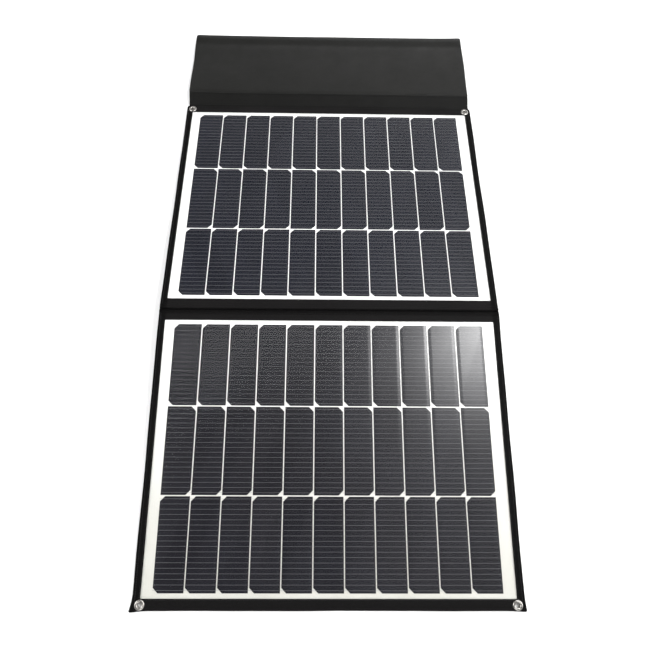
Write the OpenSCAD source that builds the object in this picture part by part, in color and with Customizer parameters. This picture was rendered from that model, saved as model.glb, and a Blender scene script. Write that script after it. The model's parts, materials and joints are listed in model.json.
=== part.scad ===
// Two-panel folding camping solar blanket with a wrap-over closing flap.
// It lies face up, opened out, with the fold line a little off the ground.
// X runs along the fold line, +Y from the lower panel towards the flap, +Z up.
// The origin is the middle of the footprint, on the ground.

/* [Cells] */
// Width of one third-cut silicon cell
cell_w = 52.25; // [40:0.25:60]
// Height of one cell
cell_h = 156.75; // [120:0.25:170]
// Gap between neighbouring cells
cell_gap = 2; // [1:0.5:4]
// Corner cut that the round ingot leaves on one long side
cell_corner = 8.5; // [4:0.5:12]
// Cells in a row
columns = 11; // [9:1:13]
// Collector wires across each cell
wires_per_row = 18; // [5:1:24]

/* [Panel] */
// White margin from the cells to the window, left and right
margin_x = 20.6; // [12:0.1:30]
// White margin from the cells to the window, top and bottom
margin_y = 8.1; // [5:0.1:20]
// Fabric border outside the window, left and right
border_x = 13.5; // [12.5:0.1:16]
// Fabric border from the window to the fold line or free edge
border_y = 18.9; // [17.5:0.1:24]
// How far the cells sit left of the window's middle
cell_shift = 1.5; // [0:0.1:3]
// Slope of each panel away from the raised fold line, in degrees
rest_tilt = 4.22; // [4:0.01:4.6]

/* [Layers] */
// Fabric skin
skin_t = 0.8; // [0.6:0.1:1.2]
// Stiffening board
board_t = 2; // [1.8:0.1:3]
// White backsheet
sheet_t = 0.8; // [0.5:0.1:1.5]
// Front film over the cells
film_t = 0.4; // [0.2:0.1:0.8]

/* [Closing flap] */
// Strip between the two creases that wraps the folded edge
spine_len = 33; // [28:0.5:40]
// Flap from its crease to its free edge
flap_len = 188; // [186:1:220]
// How much narrower the strip and flap are than the panels, each side
flap_in = 4; // [0:0.5:8]
// Climb of the spine strip at rest, from the panel's plane
spine_rest = 25; // [20:0.5:30]
// Drop of the flap at rest, from the spine strip
flap_rest = 24.1; // [18:0.1:26]

/* [Eyelets] */
// Radius of the clear hole
eyelet_r = 4; // [3:0.1:4.5]
// Radius of the flange
eyelet_flange_r = 8.4; // [7.5:0.1:9]
// Eyelet centre to the side edge
eyelet_in_x = 13; // [11:0.1:14]
// Eyelet centre to the free edge
eyelet_in_y = 9.3; // [9:0.1:11]

/* [Support legs] */
// Radius of the bent leg tube
leg_r = 4; // [3:0.1:4.5]
// From the pivot bar to the foot bar
leg_len = 320; // [250:1:360]
// Between the two arms
leg_span = 170; // [120:1:180]

/* [Cable pocket] */
// Width along the fold line
pocket_w = 190; // [160:1:200]
// Length across the fold line
pocket_l = 140; // [130:1:142]
// Depth behind the panel
pocket_d = 25.6; // [20:0.1:25.6]

/* [Hidden] */
NODES = ["upper_front_bezel", "upper_front_film", "upper_cells", "upper_cell_wires",
    "upper_backsheet", "upper_bus_ribbons", "upper_stiffener_board", "upper_hem_strip",
    "upper_back_cover", "upper_hinge_web", "upper_eyelets", "upper_eyelet_washers",
    "upper_junction_box", "upper_junction_lid", "upper_bypass_diode", "upper_jumper_leads",
    "upper_leg_clips", "upper_leg_rivets", "upper_leg_frame", "upper_leg_foot",
    "lower_front_bezel", "lower_front_film", "lower_cells", "lower_cell_wires",
    "lower_backsheet", "lower_bus_ribbons", "lower_stiffener_board", "lower_hem_strip",
    "lower_back_cover", "lower_hinge_web", "lower_eyelets", "lower_eyelet_washers",
    "lower_junction_box", "lower_junction_lid", "lower_bypass_diode", "lower_jumper_leads",
    "lower_leg_clips", "lower_leg_rivets", "lower_leg_frame", "lower_leg_foot",
    "keeper_plates", "cable_pocket", "pocket_loop_patch", "pocket_lid", "lid_hook_patch",
    "output_cables", "plug_connector", "socket_connector",
    "spine_front_skin", "spine_board", "spine_back_skin", "handle_anchors",
    "handle_rings", "handle_strap", "handle_grip",
    "flap_front_skin", "flap_board", "flap_magnets", "flap_back_skin"];
node = "all";
$fn = 48;
rows = 3;
cell_t = 0.25;
wire_w = 0.32;
wire_t = 0.15;
hair = 0.05;                    // working clearance between turning parts
cut = 1;                        // how far a cutting shape runs past what it cuts
ply = 0.05;                     // gap between layers that lie on each other

// Cell field, window and outline
pitch_x = cell_w + cell_gap;
pitch_y = cell_h + cell_gap;
field_w = columns * pitch_x - cell_gap;
field_h = rows * pitch_y - cell_gap;
window_w = field_w + 2 * margin_x;
window_h = field_h + 2 * margin_y;
outer_w = window_w + 2 * border_x;
half_len = window_h / 2 + border_y;
panel_len = 2 * half_len;
tuck = 3;                       // laminate hidden under the bezel on every side
hem_slip = 0.3;                 // gap between the laminate and the hem strip
web_half = 4;                   // from the fold line to each panel's edge
web_gap = 1.1;                  // from the fold line to each half of the web
web_t = 2 * skin_t;
fold_v = half_len + web_half;   // from a panel's middle to the fold line
reach = fold_v + half_len;      // from the fold line to a panel's free edge

// Heights above a panel's back face
z_board = skin_t + ply;
z_sheet = z_board + board_t + ply;
z_cell = z_sheet + sheet_t + ply;
z_wire = z_cell + cell_t + ply;
z_film = z_wire + wire_t + ply;
z_bezel = z_film + film_t + ply;
panel_t = z_bezel + skin_t;
fold_lift = 1.4;                // fold line above the front face, clear of the eyelets
z_fold = panel_t + fold_lift;

// Spine and flap: their creases lie crease_lift above the front skin
crease_lift = 0.6;
crease_out = 2;                 // panel edge to the first crease
plate_gap = 1.2;                // crease to the edge of each stiff plate
flap_t = 2 * skin_t + board_t + 2 * ply;
flap_w = outer_w - 2 * flap_in;
tongue = 0.5;                   // bare fabric left at each crease
tray_wall = 4;                  // sewn rim round each board
board_slip = 0.4;               // board to rim
spine_board_l = spine_len - 2 * (plate_gap + skin_t + board_slip);
flap_board_l = flap_len - 36;   // leaves a soft valley before the magnets

// Eyelet lips, the lowest points
washer_t = 0.6;
lip_w = 2.2;
hole_slack = 0.9;               // fabric hole beyond the eyelet's clear radius
lip_drop = 2 * washer_t * cos(rest_tilt) - (eyelet_in_y - eyelet_r - lip_w) * sin(rest_tilt);

// The origin in the middle of the footprint
flap_reach = (reach + crease_out) * cos(rest_tilt) + spine_len * cos(spine_rest - rest_tilt)
    + flap_len * cos(spine_rest - flap_rest - rest_tilt);
fold_y = (reach * cos(rest_tilt) - flap_reach) / 2;
fold_z = reach * sin(rest_tilt) + z_fold * cos(rest_tilt) + lip_drop;

// Support legs
leg_pivot_x = 60;
leg_near = 110;                 // fold line to the nearer arm
leg_bend = 14;
leg_z = -1.5 - leg_r;
clip_len = 16;
clip_wall = 1.4;
clip_base_t = 1.5;
rivet_r = 1.5;
rivet_in = 12;                  // rivet to the pivot bar's middle
rivet_head_r = 3;
rivet_seat = 1.1;               // board left under each rivet's inner head
clip_in = 30;                   // from each arm to its clip's middle

// Junction box
box_w = 62;
box_l = 46;
box_d = 12;                     // depth behind the back face
box_lid_t = 2;
box_wall = 2;
ribbon_t = 0.2;
box_top = z_sheet - ribbon_t - 2 * ply;
box_x = 255;
upper_box_v = 58;               // fold line to the middle of each box
lower_box_v = 62;
jumper_r = 2.5;
jumper_z = -4.7;
lead_z = -8;                    // the output leads, behind the back face
jumper_dx = 6;

// Cable pocket on the lower panel
pocket_x = 205;
pocket_v = 22;                  // fold line to the pocket's near wall
pocket_skin = 1;
patch_t = 0.5;
lid_t = 1.2;
lid_reach = 48;
lid_gap = 0.6;
patch_l = 25;
patch_gap = 0.1;
patch_in = 30;                  // from the pocket's sides to the hook and loop patches
patch_up = 8;                   // from the lid's free edge to the patches
lid_z = -pocket_d - 2 * patch_t - patch_gap;

// Carry handle
ring_r = 1.5;
ring_w = 34;                    // between the ring's long sides' middles
ring_l = 17;
ring_x = 85;
ring_corner = 3.5;
ring_y = 16.5;                  // in the spine's frame
ring_drop = 2.8;
handle_rest = 21.2;
strap_w = 24;
strap_t = 3;
strap_y = 70;
strap_bend = 25;
grip_r = 4.2;
grip_len = 120;

// Closure
magnets = 5;
magnet_pitch = 130;
magnet_l = 40;
magnet_w = 12;
magnet_y = 173;
keeper_y = -94.7;
keeper_t = 0.8;

// ---------- Frames ----------

module on_upper() {
    translate([0, fold_y, fold_z]) rotate([-rest_tilt, 0, 0])
        translate([0, fold_v, -z_fold]) children();
}

module on_lower() {
    translate([0, fold_y, fold_z]) rotate([rest_tilt, 0, 0])
        translate([0, -fold_v, -z_fold]) children();
}

module on_spine() {
    on_upper() translate([0, half_len + crease_out, panel_t + crease_lift])
        rotate([spine_rest, 0, 0]) children();
}

module on_flap() {
    on_spine() translate([0, spine_len, 0]) rotate([-flap_rest, 0, 0]) children();
}

module on_handle() {
    on_spine() translate([0, ring_y, -crease_lift - flap_t - ply - ring_drop])
        rotate([-handle_rest, 0, 0]) children();
}

// ---------- Panel layers; side is +1 for the upper panel and -1 for the lower ----------

module at_eyelets(side) {
    for (x = [-1, 1])
        translate([x * (outer_w / 2 - eyelet_in_x), side * (half_len - eyelet_in_y), 0])
            children();
}

module panel_plate(z, t) {
    translate([-outer_w / 2, -half_len, z]) cube([outer_w, panel_len, t]);
}

module centred_plate(w, l, z, t) {
    translate([-w / 2, -l / 2, z]) cube([w, l, t]);
}

module eyelet_holes(side) {
    at_eyelets(side) translate([0, 0, -cut]) cylinder(r = eyelet_r + hole_slack, h = panel_t + 2 * cut);
}

module front_bezel(side) {
    color([0.07, 0.07, 0.07]) difference() {
        union() {
            panel_plate(z_bezel, skin_t);
            if (side > 0)
                translate([-outer_w / 2, half_len - 1, z_bezel])
                    cube([outer_w, 1 + crease_out - tongue, skin_t]);
        }
        centred_plate(window_w, window_h, z_bezel - 1, skin_t + 2);
        eyelet_holes(side);
    }
}

module front_film() {
    color([0.85, 0.88, 0.9, 0.35])
        centred_plate(window_w + 2 * tuck, window_h + 2 * tuck, z_film, film_t);
}

// One cell, with its corner cuts on the left
module cell() {
    linear_extrude(height = cell_t)
        polygon([[0, cell_corner], [cell_corner, 0], [cell_w, 0], [cell_w, cell_h],
            [cell_corner, cell_h], [0, cell_h - cell_corner]]);
}

module cells() {
    color([0.14, 0.15, 0.19])
        for (row = [0 : rows - 1], column = [0 : columns - 1])
            translate([column * pitch_x - field_w / 2 - cell_shift, row * pitch_y - field_h / 2, z_cell])
                if (row % 2 == 0) cell();
                else translate([cell_w, 0, 0]) mirror([1, 0, 0]) cell();
}

module cell_wires() {
    pitch = cell_h / wires_per_row;
    color([0.78, 0.78, 0.8])
        for (row = [0 : rows - 1], wire = [0 : wires_per_row - 1])
            translate([-field_w / 2 - cell_shift,
                row * pitch_y - field_h / 2 + (wire + 0.5) * pitch - wire_w / 2, z_wire])
                cube([field_w, wire_w, wire_t]);
}

module backsheet() {
    color([0.95, 0.95, 0.92])
        centred_plate(window_w + 2 * tuck, window_h + 2 * tuck, z_sheet, sheet_t);
}

// Flat ribbons behind the backsheet that join the rows and lead to the junction box
module ribbon_paths(side, grow, t) {
    w = 5 + 2 * grow;
    end_x = field_w / 2 + 8;
    end_in = 3;                 // how far each ribbon stops short of its cells' ends
    one = cell_h - 2 * end_in;  // beside one row
    two = one + pitch_y;        // beside two rows
    low = end_in - field_h / 2;
    inside = 6;                 // the box's middle to the end of the ribbon inside it
    overlap = 2;                // soldered over the ribbon beside the cells
    z = z_sheet - ply - t;
    translate([end_x - w / 2, side > 0 ? low : low + pitch_y, z]) cube([w, two, t]);
    translate([end_x - w / 2, side > 0 ? low + 2 * pitch_y : low, z]) cube([w, one, t]);
    translate([-end_x - w / 2, side > 0 ? low + pitch_y : low, z]) cube([w, two, t]);
    translate([-end_x - w / 2, side > 0 ? low : low + 2 * pitch_y, z]) cube([w, one, t]);
    translate([box_x + inside, box_mid(side) + 2 * inside - w / 2, z])
        cube([end_x - box_x - inside - overlap, w, t]);
}

module bus_ribbons(side) {
    color([0.75, 0.75, 0.77]) ribbon_paths(side, 0, ribbon_t);
}

module rivet_spots(side) {
    for (arm = [0, 1], x = [-1, 1])
        translate([leg_pivot_x + x * rivet_in,
            side * (leg_near + clip_spot(arm) - fold_v), 0]) children();
}

// Where a clip holds the pivot bar, measured from the nearer arm
function clip_spot(arm) = arm == 0 ? clip_in : leg_span - clip_in;

function box_mid(side) = -side * (fold_v - (side > 0 ? upper_box_v : lower_box_v));

module stiffener_board(side) {
    color([0.25, 0.25, 0.26]) difference() {
        centred_plate(window_w + 2 * tuck, window_h + 2 * tuck, z_board, board_t);
        ribbon_paths(side, 0.1, ribbon_t + ply);
        translate([box_x - box_w / 2 - 0.5, box_mid(side) - box_l / 2 - 0.5, 0])
            cube([box_w + 1, box_l + 1, panel_t]);
        rivet_spots(side) cylinder(r = rivet_r + hair, h = panel_t);
        rivet_spots(side) translate([0, 0, z_board + rivet_seat])
            cylinder(r = rivet_head_r + 4 * hair, h = panel_t);
        if (side < 0) keepers(0.1, z_board - 1, 1 + keeper_t + ply);
    }
}

// The folded seam allowance that fills the edge between the two skins
module hem_strip(side) {
    color([0.06, 0.06, 0.06]) difference() {
        panel_plate(z_board, z_bezel - ply - z_board);
        centred_plate(window_w + 2 * (tuck + hem_slip), window_h + 2 * (tuck + hem_slip), 0, panel_t);
        eyelet_holes(side);
    }
}

module back_cover(side) {
    color([0.09, 0.09, 0.1]) difference() {
        panel_plate(0, skin_t);
        eyelet_holes(side);
        translate([box_x - box_w / 2 - 0.5, box_mid(side) - box_l / 2 - 0.5, -1])
            cube([box_w + 1, box_l + 1, panel_t]);
        rivet_spots(side) translate([0, 0, -1]) cylinder(r = rivet_r + hair, h = panel_t);
    }
}

module hinge_web(side) {
    color([0.05, 0.05, 0.05])
        translate([-outer_w / 2, side > 0 ? web_gap - fold_v : half_len + ply, panel_t - web_t])
            cube([outer_w, web_half - web_gap - ply, web_t]);
}

// ---------- Eyelets ----------

// Barrel with a domed front flange and a lip rolled over the washer
module eyelet() {
    dome_r = 2.75;
    dome_sink = 1.65;
    wall = 0.8;
    seat = panel_t + ply;
    rotate_extrude() union() {
        translate([eyelet_r, -2 * washer_t]) square([wall, seat + 2 * washer_t]);
        translate([eyelet_r, -2 * washer_t]) square([lip_w, washer_t - ply]);
        intersection() {
            translate([(eyelet_r + eyelet_flange_r) / 2, seat - dome_sink])
                circle(r = dome_r, $fn = 64);
            translate([eyelet_r, seat]) square([eyelet_flange_r, dome_r]);
        }
    }
}

module eyelets(side) {
    color([0.72, 0.7, 0.68]) at_eyelets(side) eyelet();
}

module eyelet_washers(side) {
    color([0.72, 0.7, 0.68]) at_eyelets(side) translate([0, 0, -washer_t]) difference() {
        cylinder(r = eyelet_flange_r, h = washer_t - ply);
        translate([0, 0, -cut]) cylinder(r = eyelet_r + hole_slack, h = washer_t + 2 * cut);
    }
}

// ---------- Junction boxes and wiring ----------

module at_box(side) {
    translate([box_x, box_mid(side), 0]) children();
}

module lead_holes(y, z) {
    for (x = [-1, 1])
        translate([x * jumper_dx, y, z]) rotate([90, 0, 0])
            cylinder(r = jumper_r + hair, h = 3 * box_wall, center = true);
}

module junction_box(side) {
    color([0.1, 0.1, 0.1]) at_box(side) difference() {
        translate([-box_w / 2, -box_l / 2, -box_d]) cube([box_w, box_l, box_d + box_top]);
        translate([-box_w / 2 + box_wall, -box_l / 2 + box_wall, -box_d - 1])
            cube([box_w - 2 * box_wall, box_l - 2 * box_wall, box_d + box_top - box_wall + 1]);
        lead_holes(-side * box_l / 2, jumper_z);
        if (side < 0) lead_holes(-box_l / 2, lead_z);
    }
}

module junction_lid(side) {
    lip = 1.2;                  // width of the rim that plugs into the box
    lip_in = 1;                 // how far it reaches in
    color([0.12, 0.12, 0.12]) at_box(side) union() {
        translate([-box_w / 2, -box_l / 2, -box_d - ply - box_lid_t]) cube([box_w, box_l, box_lid_t]);
        difference() {
            translate([-box_w / 2 + box_wall + hair, -box_l / 2 + box_wall + hair, -box_d - 0.5])
                cube([box_w - 2 * (box_wall + hair), box_l - 2 * (box_wall + hair), lip_in + 0.5]);
            translate([-box_w / 2 + box_wall + lip, -box_l / 2 + box_wall + lip, -box_d - 2])
                cube([box_w - 2 * (box_wall + lip), box_l - 2 * (box_wall + lip), 4]);
        }
    }
}

// An axial bypass diode on its two terminal plates
module bypass_diode(side) {
    post = 14;                  // from the diode's middle to each terminal
    block_h = 2.8;
    axis_z = -4;
    wire_r = 0.7;
    color([0.3, 0.3, 0.3]) at_box(side) union() {
        for (x = [-post, post]) {
            translate([x - 4, -3, box_top - box_wall - ply - block_h]) cube([8, 6, block_h]);
            translate([x, 0, axis_z]) cylinder(r = wire_r, h = block_h);
        }
        translate([-post, 0, axis_z]) rotate([0, 90, 0]) cylinder(r = wire_r, h = 2 * post);
        translate([-5, 0, axis_z]) rotate([0, 90, 0]) cylinder(r = 2.6, h = 10);
    }
}

// The half of the jumper between the boxes that belongs to one panel
module jumper_leads(side) {
    box_v = side > 0 ? upper_box_v : lower_box_v;
    stop = 6;                   // kept back from the fold line
    color([0.04, 0.04, 0.04])
        for (x = [-1, 1])
            translate([box_x + x * jumper_dx, -side * (fold_v - stop), jumper_z])
                rotate([side > 0 ? -90 : 90, 0, 0])
                    cylinder(r = jumper_r, h = box_v - box_l / 2 - stop + box_wall + 4);
}

// ---------- Support legs ----------

// Local Y runs along the pivot bar from the nearer arm; the arms point to -X
module at_leg(side) {
    translate([leg_pivot_x, side * (leg_near - fold_v), leg_z]) children();
}

module leg_corner(x, y, turn) {
    translate([x, y, 0]) rotate([0, 0, turn])
        rotate_extrude(angle = 90) translate([leg_bend, 0]) circle(r = leg_r);
}

module leg_frame(side) {
    far = side * leg_span;
    color([0.16, 0.16, 0.17]) at_leg(side) union() {
        for (x = [0, -leg_len])
            translate([x, far / 2, 0]) rotate([90, 0, 0])
                cylinder(r = leg_r, h = leg_span - 2 * leg_bend, center = true);
        for (y = [0, far])
            translate([-leg_len / 2, y, 0]) rotate([0, 90, 0])
                cylinder(r = leg_r, h = leg_len - 2 * leg_bend, center = true);
        low = min(0, far) + leg_bend;
        high = max(0, far) - leg_bend;
        leg_corner(-leg_bend, high, 0);
        leg_corner(-leg_len + leg_bend, high, 90);
        leg_corner(-leg_len + leg_bend, low, 180);
        leg_corner(-leg_bend, low, 270);
    }
}

module leg_foot(side) {
    sleeve = 1;
    color([0.03, 0.03, 0.03]) at_leg(side)
        translate([-leg_len, side * leg_span / 2, 0]) rotate([90, 0, 0]) difference() {
            cylinder(r = leg_r + sleeve, h = leg_span - 2 * leg_bend - 10, center = true);
            cylinder(r = leg_r, h = leg_span, center = true);
        }
}

module leg_clips(side) {
    flange = 17;
    color([0.55, 0.55, 0.57]) at_leg(side)
        for (arm = [0, 1])
            translate([0, side * clip_spot(arm), 0]) rotate([90, 0, 0])
                difference() {
                    linear_extrude(height = clip_len, center = true) union() {
                        translate([-flange, leg_r]) square([2 * flange, clip_base_t]);
                        circle(r = leg_r + clip_wall);
                        translate([-leg_r - clip_wall, 0])
                            square([2 * (leg_r + clip_wall), leg_r + clip_base_t]);
                    }
                    cylinder(r = leg_r + hair, h = 2 * clip_len, center = true);
                    for (x = [-1, 1])
                        translate([x * rivet_in, 0, 0]) rotate([-90, 0, 0])
                            cylinder(r = rivet_r + hair, h = 3 * leg_r);
                }
}

module leg_rivets(side) {
    crown_r = 2;
    crown_h = 1;
    tail_h = 0.7;
    tail_z = z_board + rivet_seat + 2 * ply;
    shank_z = -clip_base_t - crown_h / 2;
    color([0.6, 0.6, 0.62]) rivet_spots(side) union() {
        translate([0, 0, -clip_base_t - crown_h])
            cylinder(r1 = crown_r, r2 = rivet_head_r, h = crown_h);
        translate([0, 0, shank_z]) cylinder(r = rivet_r, h = tail_z + tail_h / 2 - shank_z);
        translate([0, 0, tail_z]) cylinder(r = rivet_head_r, h = tail_h);
    }
}

// ---------- Cable pocket ----------

// Corner of the pocket nearest the fold line, on the back of the lower panel; local Y runs away from it
module at_pocket() {
    translate([pocket_x - pocket_w / 2, fold_v - pocket_v, -ply]) mirror([0, 1, 0]) children();
}

module cable_pocket() {
    slot_w = 20;                // where the output leads come in
    slot_h = 9;
    color([0.08, 0.08, 0.09]) at_pocket() difference() {
        translate([0, 0, -pocket_d]) cube([pocket_w, pocket_l, pocket_d]);
        translate([pocket_skin, pocket_skin, -pocket_d + pocket_skin])
            cube([pocket_w - 2 * pocket_skin, pocket_l, pocket_d]);
        translate([box_x - pocket_x + (pocket_w - slot_w) / 2, -cut, -slot_h])
            cube([slot_w, pocket_skin + 2 * cut, slot_h + cut]);
    }
}

module pocket_loop_patch() {
    color([0.12, 0.12, 0.12]) at_pocket()
        translate([patch_in, pocket_l - lid_reach + patch_up, -pocket_d - patch_t])
            cube([pocket_w - 2 * patch_in, patch_l, patch_t]);
}

module lid_hook_patch() {
    color([0.1, 0.1, 0.1]) at_pocket()
        translate([patch_in, pocket_l - lid_reach + patch_up, lid_z])
            cube([pocket_w - 2 * patch_in, patch_l, patch_t]);
}

// Sewn to the back cover just past the mouth, and folded over the pocket's face
module pocket_lid() {
    seam = 0.3;                 // kept off the back cover so that the lid can turn
    side_in = 2;
    color([0.08, 0.08, 0.09]) at_pocket() union() {
        translate([side_in, pocket_l + lid_gap, lid_z])
            cube([pocket_w - 2 * side_in, lid_t, -lid_z - seam]);
        translate([side_in, pocket_l - lid_reach, lid_z - lid_t])
            cube([pocket_w - 2 * side_in, lid_reach + lid_gap + lid_t, lid_t]);
    }
}

// Two leads that leave the box and lie in a long loop, ending at the connectors
lead_inside = 6;                // lead end inside the box
lead_bend = 12;
lead_run = 52;
lead_apart = 18;                // between the two connectors
lead_start = lower_box_v + box_l / 2 - pocket_v - lead_inside;
lead_out = 20;

function lead_x(lead) = box_x - pocket_x + pocket_w / 2 + (2 * lead - 1) * jumper_dx;
function lead_turn(lead) = lead_bend + 2 * lead * jumper_dx;
function plug_x(lead) = lead_x(lead) - lead_turn(lead) - lead_run - lead * lead_apart - lead_bend;

module lead_arc(x, y, bend, turn) {
    translate([x, y, lead_z]) rotate([0, 0, turn])
        rotate_extrude(angle = 90) translate([bend, 0]) circle(r = jumper_r);
}

module lead_back(x, y, length) {
    translate([x, y, lead_z]) rotate([-90, 0, 0]) cylinder(r = jumper_r, h = length);
}

module output_cables() {
    color([0.03, 0.03, 0.03]) at_pocket()
        for (lead = [0, 1]) {
            turn = lead_turn(lead);
            out_y = lead_start + lead_out;
            side_run = lead_run + lead * lead_apart;
            back_run = lead_out + turn - lead_bend;
            union() {
                lead_back(lead_x(lead), lead_start, lead_out);
                lead_arc(lead_x(lead) - turn, out_y, turn, 0);
                translate([lead_x(lead) - turn - side_run, out_y + turn, lead_z])
                    rotate([0, 90, 0]) cylinder(r = jumper_r, h = side_run);
                lead_arc(lead_x(lead) - turn - side_run, out_y + turn - lead_bend, lead_bend, 90);
                lead_back(plug_x(lead), out_y + turn - lead_bend - back_run, back_run);
            }
        }
}

// A weatherproof connector: nut, body and either a pin nose or a socket sleeve
module connector(lead) {
    nut_r = 6.8;
    nut_h = 11;
    body_r = 6;
    body_h = 16;
    nose_h = 9;
    nose_r = lead == 0 ? 3.6 : 5.2;
    well_r = lead == 0 ? 1.5 : 3.8;
    sunk = 6;                   // cable inside the nut
    translate([plug_x(lead), lead_start + sunk, lead_z]) rotate([90, 0, 0]) difference() {
        union() {
            cylinder(r = nut_r, h = nut_h, $fn = 6);
            translate([0, 0, nut_h]) cylinder(r = body_r, h = body_h);
            translate([0, 0, nut_h + body_h]) cylinder(r = nose_r, h = nose_h);
        }
        translate([0, 0, nut_h + body_h + 2]) cylinder(r = well_r, h = nose_h);
        translate([0, 0, -1]) cylinder(r = jumper_r + hair, h = sunk + 1 + hair);
    }
}

// ---------- Spine, handle and flap ----------

module skin_tray(y0, y1) {
    difference() {
        translate([-flap_w / 2, y0, -crease_lift - flap_t + skin_t + ply])
            cube([flap_w, y1 - y0, flap_t - skin_t - ply]);
        translate([-flap_w / 2 + tray_wall, y0 + skin_t, -crease_lift - flap_t])
            cube([flap_w - 2 * tray_wall, y1 - y0 - 2 * skin_t, flap_t - skin_t]);
    }
}

module crease_tongue(y0, y1) {
    translate([-flap_w / 2, y0, -crease_lift - skin_t]) cube([flap_w, y1 - y0, skin_t]);
}

module spine_front_skin() {
    color([0.08, 0.08, 0.08]) union() {
        skin_tray(plate_gap, spine_len - plate_gap);
        crease_tongue(tongue, plate_gap + 1);
        crease_tongue(spine_len - plate_gap - 1, spine_len - tongue);
    }
}

module spine_board() {
    color([0.25, 0.25, 0.26]) board(spine_board_l);
}

module board(length) {
    translate([-flap_w / 2 + tray_wall + board_slip, plate_gap + skin_t + board_slip,
        -crease_lift - skin_t - ply - board_t])
        cube([flap_w - 2 * (tray_wall + board_slip), length, board_t]);
}

module back_skin(y0, y1) {
    translate([-flap_w / 2, y0, -crease_lift - flap_t]) cube([flap_w, y1 - y0, skin_t]);
}

module spine_back_skin() {
    color([0.09, 0.09, 0.1]) back_skin(plate_gap, spine_len - plate_gap);
}

// A webbing loop sewn to the spine's back that the ring's bar turns in
module handle_anchors() {
    tab_t = 1.2;
    tab_w = 25;
    tab_l = 24;
    color([0.07, 0.07, 0.07])
        for (x = [-1, 1])
            translate([x * ring_x, ring_y, -crease_lift - flap_t - ply]) difference() {
                union() {
                    translate([-tab_w / 2, -tab_l / 2, -tab_t]) cube([tab_w, tab_l, tab_t]);
                    translate([0, 0, -ring_drop]) rotate([0, 90, 0])
                        cylinder(r = ring_r + hair + tab_t, h = tab_w, center = true);
                }
                translate([0, 0, -ring_drop]) rotate([0, 90, 0])
                    cylinder(r = ring_r + hair, h = 2 * tab_w, center = true);
            }
}

module ring_arc(x, y, turn) {
    translate([x, y, 0]) rotate([0, 0, turn])
        rotate_extrude(angle = 90) translate([ring_corner, 0]) circle(r = ring_r);
}

module handle_rings() {
    color([0.7, 0.7, 0.72])
        for (side = [-1, 1]) translate([side * ring_x, 0, 0]) union() {
            for (y = [0, ring_l])
                translate([0, y, 0]) rotate([0, 90, 0])
                    cylinder(r = ring_r, h = ring_w - 2 * ring_corner, center = true);
            for (x = [-1, 1])
                translate([x * ring_w / 2, ring_l / 2, 0]) rotate([90, 0, 0])
                    cylinder(r = ring_r, h = ring_l - 2 * ring_corner, center = true);
            ring_arc(ring_w / 2 - ring_corner, ring_l - ring_corner, 0);
            ring_arc(-ring_w / 2 + ring_corner, ring_l - ring_corner, 90);
            ring_arc(-ring_w / 2 + ring_corner, ring_corner, 180);
            ring_arc(ring_w / 2 - ring_corner, ring_corner, 270);
        }
}

// U-shaped webbing strap whose ends loop round the rings
module handle_strap() {
    leg = strap_y - strap_bend - ring_l;
    loop_wall = 1.4;
    color([0.07, 0.07, 0.07]) difference() {
        union() {
            for (x = [-1, 1]) {
                translate([x * ring_x - strap_w / 2, ring_l, -strap_t / 2]) cube([strap_w, leg, strap_t]);
                translate([x * ring_x, ring_l, 0]) rotate([0, 90, 0])
                    cylinder(r = ring_r + loop_wall, h = strap_w, center = true);
                translate([x * (ring_x - strap_bend), strap_y - strap_bend, 0]) strap_turn(x);
            }
            translate([-ring_x + strap_bend, strap_y - strap_w / 2, -strap_t / 2])
                cube([2 * (ring_x - strap_bend), strap_w, strap_t]);
        }
        for (x = [-1, 1])
            translate([x * ring_x, ring_l, 0]) rotate([0, 90, 0])
                cylinder(r = ring_r + hair, h = strap_w + 4, center = true);
    }
}

module strap_turn(x) {
    rotate([0, 0, x > 0 ? 0 : 90]) rotate_extrude(angle = 90)
        translate([strap_bend - strap_w / 2, -strap_t / 2]) square([strap_w, strap_t]);
}

// Flat padded sleeve, rounded at both sides, over the middle of the strap
module handle_grip() {
    flat = 10;                  // from the middle to where each side starts to round
    color([0.05, 0.05, 0.05]) translate([0, strap_y, 0]) difference() {
        union() {
            cube([grip_len, 2 * flat, 2 * grip_r], center = true);
            for (y = [-flat, flat])
                translate([0, y, 0]) rotate([0, 90, 0]) cylinder(r = grip_r, h = grip_len, center = true);
        }
        cube([grip_len + 2, strap_w + 2 * ply, strap_t + 2 * ply], center = true);
    }
}

module flap_front_skin() {
    color([0.1, 0.1, 0.1]) union() {
        skin_tray(plate_gap, flap_len);
        crease_tongue(tongue, plate_gap + 1);
    }
}

module flap_board() {
    color([0.25, 0.25, 0.26]) board(flap_board_l);
}

module flap_magnets() {
    color([0.6, 0.6, 0.62])
        for (i = [0 : magnets - 1])
            translate([(i - (magnets - 1) / 2) * magnet_pitch - magnet_l / 2, magnet_y - magnet_w / 2,
                -crease_lift - skin_t - ply - board_t])
                cube([magnet_l, magnet_w, board_t]);
}

module flap_back_skin() {
    color([0.09, 0.09, 0.1]) back_skin(plate_gap, flap_len);
}

// Thin steel plates under the back cover that the flap's magnets grip
module keepers(grow, z, h) {
    for (i = [0 : magnets - 1])
        translate([(i - (magnets - 1) / 2) * magnet_pitch - magnet_l / 2 - grow,
            keeper_y - magnet_w / 2 - grow, z])
            cube([magnet_l + 2 * grow, magnet_w + 2 * grow, h]);
}

module keeper_plates() {
    color([0.6, 0.6, 0.62]) keepers(0, z_board, keeper_t);
}

// ---------- Drawing ----------

function wanted(name) = node == "all" || node == name;

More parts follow.
